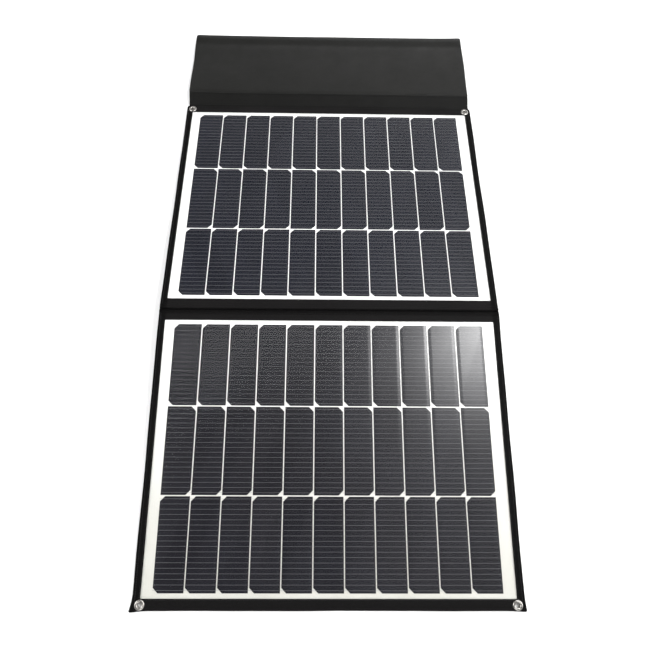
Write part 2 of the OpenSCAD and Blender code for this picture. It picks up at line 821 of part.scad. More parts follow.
if (wanted("upper_front_bezel")) on_upper() front_bezel(1);
if (wanted("upper_front_film")) on_upper() front_film();
if (wanted("upper_cells")) on_upper() cells();
if (wanted("upper_cell_wires")) on_upper() cell_wires();
if (wanted("upper_backsheet")) on_upper() backsheet();
if (wanted("upper_bus_ribbons")) on_upper() bus_ribbons(1);
if (wanted("upper_stiffener_board")) on_upper() stiffener_board(1);
if (wanted("upper_hem_strip")) on_upper() hem_strip(1);
if (wanted("upper_back_cover")) on_upper() back_cover(1);
if (wanted("upper_hinge_web")) on_upper() hinge_web(1);
if (wanted("upper_eyelets")) on_upper() eyelets(1);
if (wanted("upper_eyelet_washers")) on_upper() eyelet_washers(1);
if (wanted("upper_junction_box")) on_upper() junction_box(1);
if (wanted("upper_junction_lid")) on_upper() junction_lid(1);
if (wanted("upper_bypass_diode")) on_upper() bypass_diode(1);
if (wanted("upper_jumper_leads")) on_upper() jumper_leads(1);
if (wanted("upper_leg_clips")) on_upper() leg_clips(1);
if (wanted("upper_leg_rivets")) on_upper() leg_rivets(1);
if (wanted("upper_leg_frame")) on_upper() leg_frame(1);
if (wanted("upper_leg_foot")) on_upper() leg_foot(1);
if (wanted("lower_front_bezel")) on_lower() front_bezel(-1);
if (wanted("lower_front_film")) on_lower() front_film();
if (wanted("lower_cells")) on_lower() cells();
if (wanted("lower_cell_wires")) on_lower() cell_wires();
if (wanted("lower_backsheet")) on_lower() backsheet();
if (wanted("lower_bus_ribbons")) on_lower() bus_ribbons(-1);
if (wanted("lower_stiffener_board")) on_lower() stiffener_board(-1);
if (wanted("lower_hem_strip")) on_lower() hem_strip(-1);
if (wanted("lower_back_cover")) on_lower() back_cover(-1);
if (wanted("lower_hinge_web")) on_lower() hinge_web(-1);
if (wanted("lower_eyelets")) on_lower() eyelets(-1);
if (wanted("lower_eyelet_washers")) on_lower() eyelet_washers(-1);
if (wanted("lower_junction_box")) on_lower() junction_box(-1);
if (wanted("lower_junction_lid")) on_lower() junction_lid(-1);
if (wanted("lower_bypass_diode")) on_lower() bypass_diode(-1);
if (wanted("lower_jumper_leads")) on_lower() jumper_leads(-1);
if (wanted("lower_leg_clips")) on_lower() leg_clips(-1);
if (wanted("lower_leg_rivets")) on_lower() leg_rivets(-1);
if (wanted("lower_leg_frame")) on_lower() leg_frame(-1);
if (wanted("lower_leg_foot")) on_lower() leg_foot(-1);
if (wanted("keeper_plates")) on_lower() keeper_plates();
if (wanted("cable_pocket")) on_lower() cable_pocket();
if (wanted("pocket_loop_patch")) on_lower() pocket_loop_patch();
if (wanted("pocket_lid")) on_lower() pocket_lid();
if (wanted("lid_hook_patch")) on_lower() lid_hook_patch();
if (wanted("output_cables")) on_lower() output_cables();
if (wanted("plug_connector")) on_lower() at_pocket() color([0.05, 0.05, 0.05]) connector(0);
if (wanted("socket_connector")) on_lower() at_pocket() color([0.05, 0.05, 0.05]) connector(1);
if (wanted("spine_front_skin")) on_spine() spine_front_skin();
if (wanted("spine_board")) on_spine() spine_board();
if (wanted("spine_back_skin")) on_spine() spine_back_skin();
if (wanted("handle_anchors")) on_spine() handle_anchors();
if (wanted("handle_rings")) on_handle() handle_rings();
if (wanted("handle_strap")) on_handle() handle_strap();
if (wanted("handle_grip")) on_handle() handle_grip();
if (wanted("flap_front_skin")) on_flap() flap_front_skin();
if (wanted("flap_board")) on_flap() flap_board();
if (wanted("flap_magnets")) on_flap() flap_magnets();
if (wanted("flap_back_skin")) on_flap() flap_back_skin();
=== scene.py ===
import json
import math

import bmesh
import bpy
import numpy as np
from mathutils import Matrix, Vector


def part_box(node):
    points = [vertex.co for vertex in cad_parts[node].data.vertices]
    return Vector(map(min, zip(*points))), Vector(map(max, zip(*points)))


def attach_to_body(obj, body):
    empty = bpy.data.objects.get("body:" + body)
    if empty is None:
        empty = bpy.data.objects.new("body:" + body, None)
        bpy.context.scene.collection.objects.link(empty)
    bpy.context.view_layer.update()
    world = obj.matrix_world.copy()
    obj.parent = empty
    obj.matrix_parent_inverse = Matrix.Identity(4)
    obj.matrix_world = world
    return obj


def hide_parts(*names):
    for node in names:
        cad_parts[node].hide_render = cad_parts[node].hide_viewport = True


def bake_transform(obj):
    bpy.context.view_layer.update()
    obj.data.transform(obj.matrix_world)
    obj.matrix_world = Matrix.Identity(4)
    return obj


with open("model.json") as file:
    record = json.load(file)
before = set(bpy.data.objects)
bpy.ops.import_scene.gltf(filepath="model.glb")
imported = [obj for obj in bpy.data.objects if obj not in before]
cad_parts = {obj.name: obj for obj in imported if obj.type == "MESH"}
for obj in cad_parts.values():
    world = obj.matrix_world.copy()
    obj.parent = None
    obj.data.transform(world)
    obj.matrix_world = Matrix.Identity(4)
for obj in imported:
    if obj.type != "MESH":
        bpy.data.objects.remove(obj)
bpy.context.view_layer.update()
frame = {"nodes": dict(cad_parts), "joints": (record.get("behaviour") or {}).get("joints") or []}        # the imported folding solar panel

scene = bpy.context.scene
nodes = frame["nodes"]
pivot = {joint["name"]: np.array(joint["pos_m"]) for joint in frame["joints"]}

# Local lengths are in millimetres; MM brings them to the frame's metres.
MM = 0.001
TUCK = 3.0               # laminate hidden under the fabric frame on every side
TAU = 2 * math.pi
COLUMNS = 11             # cells in a row
CELL_GAP = 2.0
EYELET_HOLE = 4.55       # radius of the cloth's hole round each eyelet
FILM_SHARE = 0.14        # most that the film reflects, so that cells still show from a low side


# ---------- Local frames of the flat bodies ----------

class Plate:
    """A flat body's own frame: x along the fold, y across the plate, z out of its front."""

    def __init__(self, node, origin=None):
        points = corner_points(node)
        section = points[:, 1:] - points[:, 1:].mean(0)
        along = np.linalg.svd(section, full_matrices=False)[2][0]
        if along[0] < 0:
            along = -along
        self.axes = np.array([[1, 0, 0], [0, along[0], along[1]], [0, -along[1], along[0]]])
        local = points @ self.axes.T
        self.origin = (local.min(0) + local.max(0)) / 2 @ self.axes
        if origin is not None:
            self.origin = np.array([0.0, origin[1], origin[2]])

    def rest_on(self, node):
        """Moves the frame's zero height to the underside of a node."""
        self.origin = self.origin + self.axes[2] * self.box(node)[0][2] * MM
        return self

    def row(self, points):
        return np.asarray(points, float) * MM @ self.axes + self.origin

    def local(self, points):
        return (np.asarray(points, float) - self.origin) @ self.axes.T / MM

    def box(self, node):
        local = self.local(corner_points(node))
        return local.min(0), local.max(0)

    def core(self, node):
        """A node's middle and half its size."""
        low, high = self.box(node)
        return (low + high) / 2, (high - low) / 2


def points_of(piece):
    return np.array([v.co for v in piece.data.vertices], float).reshape(-1, 3)


def corner_points(node):
    return points_of(nodes[node])


upper = Plate("upper_backsheet").rest_on("upper_back_cover")
lower = Plate("lower_backsheet").rest_on("lower_back_cover")
spine = Plate("spine_board", pivot["spine_fold"])
flap = Plate("flap_board", pivot["flap_fold"])
handle = Plate("handle_strap", pivot["handle_swing"])
panels = (("upper", upper, 1), ("lower", lower, -1))

half_x, half_y = upper.box("upper_hem_strip")[1][:2]
window_x, window_y = upper.box("upper_backsheet")[1][:2] - TUCK
front_z = lower.box("lower_front_bezel")[1][2]
seat_z = upper.box("upper_front_bezel")[0][2]
skin_z = upper.box("upper_back_cover")[1][2]
hem_z = upper.box("upper_hem_strip")[0][2]
fold_y = -upper.local(pivot["panel_fold"])[1]      # panel's middle to fold line
crease_y, crease_z = upper.local(pivot["spine_fold"])[1:]
spine_length = spine.local(pivot["flap_fold"])[1]
flap_half = flap.box("flap_front_skin")[1][0]
flap_length = flap.box("flap_front_skin")[1][1]
plate_top = flap.box("flap_front_skin")[1][2]
plate_low = flap.box("flap_back_skin")[0][2]
plate_gap = flap.box("flap_back_skin")[0][1]


# ---------- Mesh helpers ----------

def swell(value, low, high, edge):
    """0 at both ends of a span, rising to 1 along a quarter circle."""
    near = np.clip(np.minimum(value - low, high - value) / edge, 0, 1)
    return np.sqrt(1 - (1 - near) ** 2)


def level(height):
    """A surface of one height, for slab and stitches."""
    return lambda x, y: 0 * x + height


def bell(value, middle, width):
    return np.exp(-((value - middle) / width) ** 2)


def step(value, low, high):
    t = np.clip((value - low) / (high - low), 0, 1)
    return t * t * (3 - 2 * t)


def ripple(x, y, length, seed):
    """Smooth uneven waves between about -1 and 1."""
    a, b = x / length * TAU, y / length * TAU
    first = np.sin(a + seed) * np.cos(0.7 * b + 2.1 * seed)
    second = 0.6 * np.sin(0.53 * a - 1.3 * b + 3.7 * seed)
    third = 0.4 * np.sin(1.9 * a + 0.4 * b + 1.1 * seed)
    return (first + second + third) / 2


def graded(low, high, pitch, edge):
    """Grid lines from low to high, closer together near both ends."""
    inner = np.linspace(low + edge, high - edge, max(2, round((high - low - 2 * edge) / pitch) + 1))
    ends = edge * np.array([0, 0.08, 0.3, 0.62])
    return np.concatenate([low + ends, inner, (high - ends)[::-1]])


def build(name, vertices, faces, material, smooth=True):
    """A piece whose vertices are in the row frame, in metres."""
    mesh = bpy.data.meshes.new(name)
    mesh.from_pydata([tuple(v) for v in vertices], [], faces)
    clean = bmesh.new()
    clean.from_mesh(mesh)
    bmesh.ops.recalc_face_normals(clean, faces=clean.faces)
    clean.to_mesh(mesh)
    clean.free()
    mesh.polygons.foreach_set("use_smooth", [smooth] * len(mesh.polygons))
    mesh.materials.append(material)
    piece = bpy.data.objects.new(name, mesh)
    scene.collection.objects.link(piece)
    return piece


def attach(piece, slot, body=None, *stands_for):
    """Sets the body a piece rides on (none for a piece that crosses a joint) and the CAD nodes it
    stands for; slot, the name of its finish, is not used."""
    if body:
        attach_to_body(piece, body)
    if stands_for:
        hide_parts(*stands_for)


def make(name, plate, shape, material):
    """A piece from vertices in a plate's own frame, and faces."""
    return build(name, plate.row(shape[0]), shape[1], material)


def raised(loop, z):
    return np.c_[loop, np.full(len(loop), z)]


def outline(x0, y0, x1, y1):
    """Straight paths round a rectangle, for stitches."""
    corners = [(x0, y0), (x1, y0), (x1, y1), (x0, y1)]
    return list(zip(corners, corners[1:] + corners[:1]))


def lofted(loops, wrap=False, cap=False):
    """Vertices and faces of a skin through loops of equally many points."""
    count, rows = len(loops[0]), len(loops)
    faces = []
    for r in range(rows if wrap else rows - 1):
        a, b = r * count, (r + 1) % rows * count
        faces += [(a + i, a + (i + 1) % count, b + (i + 1) % count, b + i) for i in range(count)]
    if cap:
        faces.append(tuple(range(count)))
        faces.append(tuple((rows - 1) * count + i for i in range(count)))
    return np.concatenate(loops), faces


def gather(parts):
    """Joins several (vertices, faces) into one."""
    vertices, faces, total = [], [], 0
    for points, part_faces in parts:
        vertices.append(points)
        faces += [tuple(i + total for i in face) for face in part_faces]
        total += len(points)
    return np.concatenate(vertices), faces


def turns(count):
    """Angles of equally spaced points round a circle."""
    return np.linspace(0, TAU, count, endpoint=False)


def slab(xs, ys, top, bottom):
    """Vertices and faces of a closed plate over a grid; top and bottom give its heights."""
    x, y = [g.ravel() for g in np.meshgrid(xs, ys)]
    vertices = np.concatenate([np.c_[x, y, top(x, y)], np.c_[x, y, bottom(x, y)]])
    nx, ny, under = len(xs), len(ys), len(x)
    faces = []
    for j in range(ny - 1):
        for i in range(nx - 1):
            a = j * nx + i
            faces.append((a, a + 1, a + nx + 1, a + nx))
            faces.append((under + a, under + a + nx, under + a + nx + 1, under + a + 1))
    rim = [*range(nx), *range(2 * nx - 1, nx * ny, nx), *range(nx * ny - 2, nx * (ny - 1) - 1, -1)]
    rim += [*range(nx * (ny - 2), 0, -nx)]
    for a, b in zip(rim, rim[1:] + rim[:1]):
        faces.append((b, a, under + a, under + b))
    return vertices, faces


def rounded_loop(reach_x, reach_y, radius, along_x=56, along_y=44, round_steps=6):
    """Points round a rectangle with rounded corners, from the right side anticlockwise."""
    arcs = []
    for sx, sy, turn in ((1, 1, 0), (-1, 1, 90), (-1, -1, 180), (1, -1, 270)):
        angles = np.radians(turn + np.linspace(0, 90, round_steps))
        arcs.append(np.c_[sx * (reach_x - radius) + radius * np.cos(angles),
                          sy * (reach_y - radius) + radius * np.sin(angles)])
    points = []
    for k, arc in enumerate(arcs):
        steps = along_x if k % 2 == 0 else along_y
        shares = np.linspace(0, 1, steps + 1)[1:-1, None]
        points += [arc, arc[-1] + (arcs[(k + 1) % 4][0] - arc[-1]) * shares]
    return np.concatenate(points)


def terrace(reach, radius, counts, centre, steps, **ends):
    """A skin through rounded rectangles round a centre; each step is an inset and a height."""
    return lofted([raised(rounded_loop(reach[0] - inset, reach[1] - inset, radius, *counts) + centre, z)
                   for inset, z in steps], **ends)


def drawn_in(value, end, corner):
    """How far an edge is drawn in over the last stretch before end, along a quarter circle."""
    past = np.clip(value - (end - corner), 0, corner)
    return corner - np.sqrt(corner ** 2 - past ** 2)


def unit(rows):
    return rows / np.linalg.norm(rows, axis=1)[:, None]


def squared(value, power):
    """Sine or cosine values pushed outwards, which squares a round section."""
    return np.sign(value) * abs(value) ** power


def settle(piece, levels=0):
    """Replaces a piece's mesh by the one its modifiers make, after an optional subdivision."""
    if levels:
        piece.modifiers.new("smooth", "SUBSURF").levels = levels
    bpy.context.view_layer.update()
    seen = piece.evaluated_get(bpy.context.evaluated_depsgraph_get())
    mesh = bpy.data.meshes.new_from_object(seen)
    piece.modifiers.clear()
    piece.data = mesh
    return piece


def punch(piece, plate, spots, radius):
    """Cuts round holes square through a plate-like piece."""
    angles, parts = turns(28), []
    for x, y in spots:
        ring = np.c_[x + radius * np.cos(angles), y + radius * np.sin(angles)]
        parts.append(lofted([raised(ring, z) for z in (-12.0, 20.0)], cap=True))
    tool = make(piece.name + "_cutter", plate, gather(parts), piece.data.materials[0])
    cut = piece.modifiers.new("holes", "BOOLEAN")
    cut.operation = "DIFFERENCE"
    cut.solver = "EXACT"
    cut.object = tool
    settle(piece)
    bpy.data.objects.remove(tool)


def stitches(name, plate, body, paths, height, slot="case_fabric", length=2.7, pitch=3.7):
    """Raised thread dashes along straight paths ((x0, y0), (x1, y1)) on a plate, riding on a body."""
    sides, shares = 6, np.array([-0.5, -0.32, 0.32, 0.5])
    radii = np.array([0.12, 0.3, 0.3, 0.12])
    angles = turns(sides)
    rings = [np.c_[np.full(sides, share * length), r * np.cos(angles), 0.7 * r * np.sin(angles)]
             for share, r in zip(shares, radii)]
    dash, dash_faces = lofted(rings, cap=True)
    parts = []
    for start, end in paths:
        start, end = np.array(start, float), np.array(end, float)
        span = np.linalg.norm(end - start)
        forward = (end - start) / span
        sideways = np.array([-forward[1], forward[0]])
        for k in range(int(span / pitch)):
            middle = start + forward * (k + 0.5) * pitch
            plan = middle + dash[:, :1] * forward + dash[:, 1:2] * sideways
            parts.append((np.c_[plan, dash[:, 2] + height(plan[:, 0], plan[:, 1])], dash_faces))
    attach(make(name, plate, gather(parts), thread_look), slot, body)


def tube(path, radius, sides=14):
    """Vertices and faces of a round tube along points, with rounded-off ends."""
    path = np.asarray(path, float)
    forward = unit(np.gradient(path, axis=0))
    side = unit(np.cross(forward, [0.013, 0.021, 1.0]))
    lift = np.cross(side, forward)
    angles = turns(sides)
    loops = [p + radius * (np.outer(np.cos(angles), s) + np.outer(np.sin(angles), u))
             for p, s, u in zip(path, side, lift)]
    return lofted(loops, cap=True)


# ---------- Materials ----------

class Recipe:
    """A node material being put together."""

    def __init__(self, name, world=None):
        if world is None:
            self.material = bpy.data.materials.new(name)
            self.material.use_nodes = True
        self.tree = (world or self.material).node_tree
        self.surface = self.tree.nodes.get("Principled BSDF")
        kind = "Object" if world is None else "Generated"
        self.place = self.add("ShaderNodeTexCoord").outputs[kind]
        self.x, self.y, self.z = self.add("ShaderNodeSeparateXYZ", Vector=self.place).outputs

    def add(self, kind, settings=None, **inputs):
        node = self.tree.nodes.new(kind)
        for key, value in (settings or {}).items():
            setattr(node, key, value)
        for socket, value in inputs.items():
            self.feed(node, socket.replace("_", " "), value)
        return node

    def feed(self, node, socket, value):
        target = node.inputs[socket]
        if isinstance(value, bpy.types.NodeSocket):
            self.tree.links.new(value, target)
        else:
            target.default_value = value

    def math(self, operation, *values):
        node = self.add("ShaderNodeMath", {"operation": operation})
        for k, value in enumerate(values):
            self.feed(node, k, value)
        return node.outputs[0]

    def times(self, first, second):
        return self.math("MULTIPLY", first, second)

    def noise(self, scale, detail=3.0):
        return self.add("ShaderNodeTexNoise", Vector=self.place, Scale=scale, Detail=detail,
                        Roughness=0.55).outputs["Fac"]

    def geometry(self, output):
        return self.add("ShaderNodeNewGeometry").outputs[output]

    def wave(self, axis, pitch):
        """A sine between -1 and 1 along one axis, with its pitch in metres."""
        return self.math("SINE", self.times(axis, TAU / pitch))

    def span(self, value, low, high, to_low=0.0, to_high=1.0):
        node = self.add("ShaderNodeMapRange", {"interpolation_type": "SMOOTHSTEP"})
        for k, number in enumerate((value, low, high, to_low, to_high)):
            self.feed(node, k, number)
        return node.outputs[0]

    def mix(self, share, first, second):
        node = self.add("ShaderNodeMix", {"data_type": "RGBA"})
        for k, value in ((0, share), (6, first), (7, second)):
            if isinstance(value, (tuple, list)):
                value = (*value, 1.0)
            self.feed(node, k, value)
        return node.outputs[2]

    def bump(self, height, distance, strength=1.0, normal=None):
        node = self.add("ShaderNodeBump", Strength=strength, Distance=distance, Height=height)
        if normal is not None:
            self.feed(node, "Normal", normal)
        return node.outputs[0]

    def finish(self, **inputs):
        for socket, value in inputs.items():
            if isinstance(value, tuple):
                value = (*value, 1.0)
            self.feed(self.surface, socket.replace("_", " "), value)
        return self.material


def tint(color, factor):
    return tuple(c * factor for c in color)


def woven(name, color, thread=0.75, rough=0.62, sheen=0.006, weave_height=0.00006, shine=0.04,
          case=False):
    """Coated woven cloth: fine plain weave, uneven dye and paler worn edges; case cloth also has painted
    shade:
    darker towards the lower panel's free end, darker side borders and a painted shadow along the fold line."""
    r = Recipe(name)
    across = r.math("ADD", r.y, r.z)
    weave = r.times(r.wave(r.x, 2 * thread * MM), r.wave(across, 2 * thread * MM))
    patches = r.span(r.noise(9.0), 0.35, 0.7)
    flecks = r.span(r.noise(420.0, 2.0), 0.35, 0.75)
    dye_and_shade = r.mix(patches, tint(color, 0.86), tint(color, 1.16))
    if case:
        fold = pivot["panel_fold"][1]
        # painted shade: the case cloth darkens towards the lower panel's free end, which catches less light
        # than the far end
        dye_and_shade = r.mix(r.span(r.y, -0.62, 0.42), tint(color, 0.55), dye_and_shade)
        # painted shade: the side borders of the same cloth are darkened to a fifth
        sides = r.span(r.math("ABSOLUTE", r.x), (window_x - 2) * MM, (window_x + 1) * MM)
        dye_and_shade = r.mix(sides, dye_and_shade, tint(color, 0.2))
        # painted shadow: a dark band in the crease along the fold line
        near = r.times(r.span(r.y, fold - 0.014, fold - 0.002), r.span(r.y, fold, fold + 0.004, 1.0, 0.0))
        dye_and_shade = r.mix(near, dye_and_shade, tint(color, 0.05))
    dye_and_shade = r.mix(r.times(flecks, 0.35), dye_and_shade, tint(color, 1.5))
    dye_and_shade = r.mix(r.span(weave, -1.0, 1.0, 0.0, 0.3), dye_and_shade, tint(color, 0.6))
    edge = r.span(r.geometry("Pointiness"), 0.53, 0.62)
    scuffs = r.times(edge, r.span(r.noise(60.0), 0.4, 0.65))
    dye_and_shade = r.mix(r.times(scuffs, 0.5), dye_and_shade, tint(color, 2.5))
    rough_now = r.span(r.noise(30.0), 0.3, 0.7, rough - 0.07, rough + 0.06)
    creases = r.bump(r.noise(14.0, 4.0), 0.0012, 0.16)
    return r.finish(Base_Color=dye_and_shade, Roughness=rough_now, Specular_IOR_Level=shine,
                    Sheen_Weight=sheen, Sheen_Roughness=0.45,
                    Normal=r.bump(weave, weave_height, 0.9, creases))


def webbing(name, color):
    """Ribbed nylon tape: coarse diagonal ribs with a fine cross weave."""
    r = Recipe(name)
    ribs = r.wave(r.math("ADD", r.x, r.times(r.y, 0.6)), 0.0022)
    picks = r.wave(r.y, 0.0011)
    height = r.math("ADD", r.math("ABSOLUTE", ribs), r.times(picks, 0.35))
    dye_and_shade = r.mix(r.span(height, 0.1, 1.2), tint(color, 0.55), tint(color, 1.35))
    return r.finish(Base_Color=dye_and_shade, Roughness=r.span(r.noise(50.0), 0.3, 0.7, 0.6, 0.78),
                    Sheen_Weight=0.05, Specular_IOR_Level=0.2, Normal=r.bump(height, 0.0003, 0.9))


def metal(name, color, rough):
    """Plated metal with fine scratches and dulled patches."""
    r = Recipe(name)
    grain = r.noise(900.0, 2.0)
    patches = r.span(r.noise(70.0), 0.3, 0.7)
    return r.finish(Base_Color=r.mix(patches, tint(color, 0.82), color), Metallic=1.0,
                    Roughness=r.math("ADD", r.times(patches, 0.12), rough),
                    Normal=r.bump(grain, 0.00003, 0.35))


def moulded(name, color, rough=0.45, grain=650.0, depth=0.00005):
    """Moulded plastic or rubber with a fine spark-eroded grain."""
    r = Recipe(name)
    patches = r.span(r.noise(25.0), 0.35, 0.7)
    edge = r.span(r.geometry("Pointiness"), 0.52, 0.62)
    shade = r.mix(patches, tint(color, 0.85), tint(color, 1.15))
    shade = r.mix(r.times(edge, 0.4), shade, tint(color, 2.2))
    return r.finish(Base_Color=shade, Roughness=r.span(r.noise(90.0), 0.3, 0.7, rough - 0.06, rough + 0.08),
                    Normal=r.bump(r.noise(grain, 2.0), depth, 0.8))


def silicon(name):
    """Cell face: deep blue-grey, each cell a little different, with fine printed fingers."""
    r = Recipe(name)
    each = r.geometry("Random Per Island")
    # painted light: the lower panel's cells take the first, greyer tones and the upper panel's the second,
    # bluer ones, standing in for the light the far panel reflects
    first = r.mix(each, (0.0040, 0.0038, 0.0062), (0.0070, 0.0066, 0.0098))
    second = r.mix(each, (0.0026, 0.0034, 0.0080), (0.0050, 0.0060, 0.0122))
    shade = r.mix(r.span(r.y, -0.16, -0.04), first, second)
    shade = r.mix(r.span(r.noise(6.0), 0.35, 0.7, 0.0, 0.4), shade, (0.0046, 0.0056, 0.0105))
    fingers = r.span(r.wave(r.x, 0.0016), 0.90, 0.99, 0.0, 0.10)
    shade = r.mix(fingers, shade, (0.026, 0.026, 0.031))
    etch = r.bump(r.noise(90.0, 2.0), 0.00001, 0.2)
    return r.finish(Base_Color=shade, Roughness=r.span(each, 0.0, 1.0, 0.32, 0.46),
                    Specular_IOR_Level=0.14, Normal=etch)


def backing(name):
    """White backsheet with painted shade, greyer towards the free end of the lower panel and a little
    yellower there.
    """
    r = Recipe(name)
    low_y, high_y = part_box("lower_backsheet")[0].y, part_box("upper_backsheet")[1].y
    # painted shade: the backsheet darkens to about half towards the lower panel's free end
    shade = r.mix(r.span(r.y, low_y, (low_y + high_y) / 2 + 0.05), (0.48, 0.475, 0.435), (0.86, 0.86, 0.845))
    shade = r.mix(r.span(r.noise(5.0), 0.35, 0.7, 0.0, 0.25), shade, (0.64, 0.63, 0.60))
    return r.finish(Base_Color=shade, Roughness=r.span(r.noise(40.0), 0.3, 0.7, 0.42, 0.55),
                    Normal=r.bump(r.noise(700.0, 2.0), 0.00003, 0.5))


def clear_film(name, column_pitch):
    """Clear front film: a thin reflection over what lies under it, bowed over each column of cells."""
    r = Recipe(name)
    gap = upper.box("upper_cells")[0][0] * MM - CELL_GAP / 2 * MM
    lift = r.math("ABSOLUTE", r.wave(r.math("SUBTRACT", r.x, gap), 2 * column_pitch))
    peel = r.bump(r.noise(16.0, 1.0), 0.0003, 0.05)
    normal = r.bump(r.span(lift, 0.0, 0.45), 0.0004, 1.0, peel)
    shine = r.add("ShaderNodeBsdfGlossy", Color=(1, 1, 1, 1), Roughness=0.28, Normal=normal).outputs[0]
    clear = r.add("ShaderNodeBsdfTransparent", Color=(0.985, 0.985, 0.985, 1)).outputs[0]
    outside = r.math("SUBTRACT", 1.0, r.geometry("Backfacing"))
    share = r.times(r.add("ShaderNodeFresnel", IOR=1.42).outputs[0], outside)
    share = r.times(share, r.span(r.noise(12.0), 0.3, 0.7, 0.8, 0.95))
    share = r.math("MINIMUM", share, FILM_SHARE)
    mixer = r.add("ShaderNodeMixShader", Fac=share)
    r.feed(mixer, 1, clear)
    r.feed(mixer, 2, shine)
    r.tree.nodes.remove(r.surface)
    r.feed(r.tree.nodes["Material Output"], "Surface", mixer.outputs[0])
    return r.material


BLACK = (0.0088, 0.0084, 0.0085)
case_cloth = woven("case_fabric", BLACK, rough=0.50, sheen=0.001, shine=0.02, case=True)
# painted light: the spine and flap are the same black cloth as the case, each given its own base colour tuned
# to the light it catches
flap_cloth_look = woven("flap_fabric", (0.0062, 0.0062, 0.0056), rough=0.48, sheen=0.01, shine=0.15)
spine_look = woven("spine_fabric", (0.0042, 0.0042, 0.0039), rough=0.5, sheen=0.005, shine=0.09)
pocket_look = woven("pocket_fabric", (0.006, 0.006, 0.0065), thread=1.0, weave_height=0.0001, rough=0.7,
                    shine=0.1)
thread_look = webbing("sewing_thread", (0.012, 0.012, 0.0125))
tape_look = webbing("webbing_tape", (0.009, 0.009, 0.0095))
nickel = metal("nickel", (0.38, 0.365, 0.345), 0.25)
steel = metal("plated_steel", (0.62, 0.62, 0.63), 0.32)
tin = metal("tinned_copper", (0.60, 0.60, 0.62), 0.38)
box_look = moulded("box_plastic", (0.018, 0.018, 0.018))
plug_look = moulded("connector_plastic", (0.012, 0.012, 0.013), rough=0.38)
cable_look = moulded("cable_rubber", (0.010, 0.010, 0.010), rough=0.52, grain=1200.0)
foot_look = moulded("foot_rubber", (0.012, 0.012, 0.012), rough=0.8, grain=400.0, depth=0.0001)
wire_look = moulded("cell_wires", (0.10, 0.099, 0.106), rough=0.6, grain=300.0, depth=0.00001)
diode_look = moulded("diode_epoxy", (0.02, 0.02, 0.02), rough=0.3)
grip_look = woven("grip_fabric", (0.0085, 0.0085, 0.009), thread=1.1, weave_height=0.00012, rough=0.7,
                  sheen=0.05)
leg_look = moulded("leg_paint", (0.028, 0.028, 0.030), rough=0.36, grain=300.0, depth=0.00008)
board_look = moulded("stiffener", (0.05, 0.05, 0.052), rough=0.7)
hook_look = woven("hook_loop", (0.008, 0.008, 0.008), thread=1.3, weave_height=0.0004, rough=0.9, sheen=0.08)
cell_look = silicon("silicon")
sheet_look = backing("white_backsheet")
column_pitch = (upper.box("upper_cells")[1][0] - upper.box("upper_cells")[0][0] + CELL_GAP) / COLUMNS
film_look = clear_film("clear_film", column_pitch * MM)


def dress(material, *names, bevel=0.0):
    """Gives carried-over CAD nodes their finish, and an optional small edge rounding."""
    for name in names:
        node = nodes[name]
        node.data.materials.clear()
        node.data.materials.append(material)
        if bevel:
            node.modifiers.new("join", "WELD").merge_threshold = 0.00001
            rounding = node.modifiers.new("rounded_edges", "BEVEL")
            rounding.width = bevel * MM
            rounding.segments = 3
            rounding.limit_method = "ANGLE"
            rounding.angle_limit = math.radians(35)
            rounding.harden_normals = True


# ---------- Fabric frame, back cover and seams of the panels ----------

def panel_edge(plate, side, name):
    """The case fabric round the window, sewn down over the hem."""
    border = np.array([half_x - window_x, half_y - window_y])
    middle = (hem_z + front_z) / 2
    # Each step: share of the border's width, millimetres further in, height
    profile = [
        (0, 1.2, hem_z), (0, 0.3, hem_z + 0.8), (0, 0.0, middle), (0, 0.25, front_z - 0.8),
        (0, 1.1, front_z - 0.1), (0, 2.6, front_z + 0.16), (0, 3.9, front_z + 0.1),
        (0, 4.5, front_z - 0.42), (0, 5.1, front_z + 0.05), (0.5, 0.0, front_z + 0.24),
        (0.75, 0.0, front_z + 0.22), (1, -2.6, front_z + 0.12), (1, -2.0, front_z - 0.12),
        (1, -1.4, front_z + 0.14), (1, -0.5, front_z + 0.1), (1, 0.0, front_z - 0.3),
        (1, 0.1, seat_z + 0.05), (1, -1.0, seat_z), (1, -TUCK - 0.3, seat_z), (1, -TUCK - 0.3, hem_z),
    ]
    loops = []
    for share, inset, z in profile:
        reach = np.array([half_x, half_y]) - share * border - inset
        outer = share < 1
        loop = rounded_loop(reach[0], reach[1], 3.2 if outer else 1.2)
        x, y = loop[:, 0], loop[:, 1]
        looseness = 1 - min(1, share * 1.4)
        push = 1.0 * looseness * ripple(x, y, 240, 1.3 + side)
        x = x + push * np.sign(x) * (abs(x) > half_x - 20)
        y = y + 0.6 * push * np.sign(y) * (abs(y) > half_y - 20)
        if side < 0:             # the lower panel's free corners are drawn out to points
            for corner, pull in ((-1, 1.0), (1, 0.45)):
                near = np.exp(-((x - corner * half_x) ** 2 + (y + half_y) ** 2) / 11 ** 2) * looseness
                x = x + corner * 5.0 * pull * near
                y = y - 3.0 * pull * near
        lifted = z > middle
        lift = 0.3 * ripple(x, y, 70, 0.4 + side) * swell(share, 0, 1, 0.5) if lifted else 0 * x
        loops.append(np.c_[x, y, z + lift])
    piece = settle(make(name + "_frame_cloth", plate, lofted(loops, wrap=True), case_cloth), 1)
    punch(piece, plate, eyelet_spots(plate, name), EYELET_HOLE)
    attach(piece, "case_fabric", name + "_panel", name + "_front_bezel", name + "_hem_strip")


def eyelet_spots(plate, name):
    low, high = plate.box(name + "_eyelet_washers")
    reach = (high[0] - low[0]) / 2 - (high[1] - low[1]) / 2
    return [(-reach, (low[1] + high[1]) / 2), (reach, (low[1] + high[1]) / 2)]


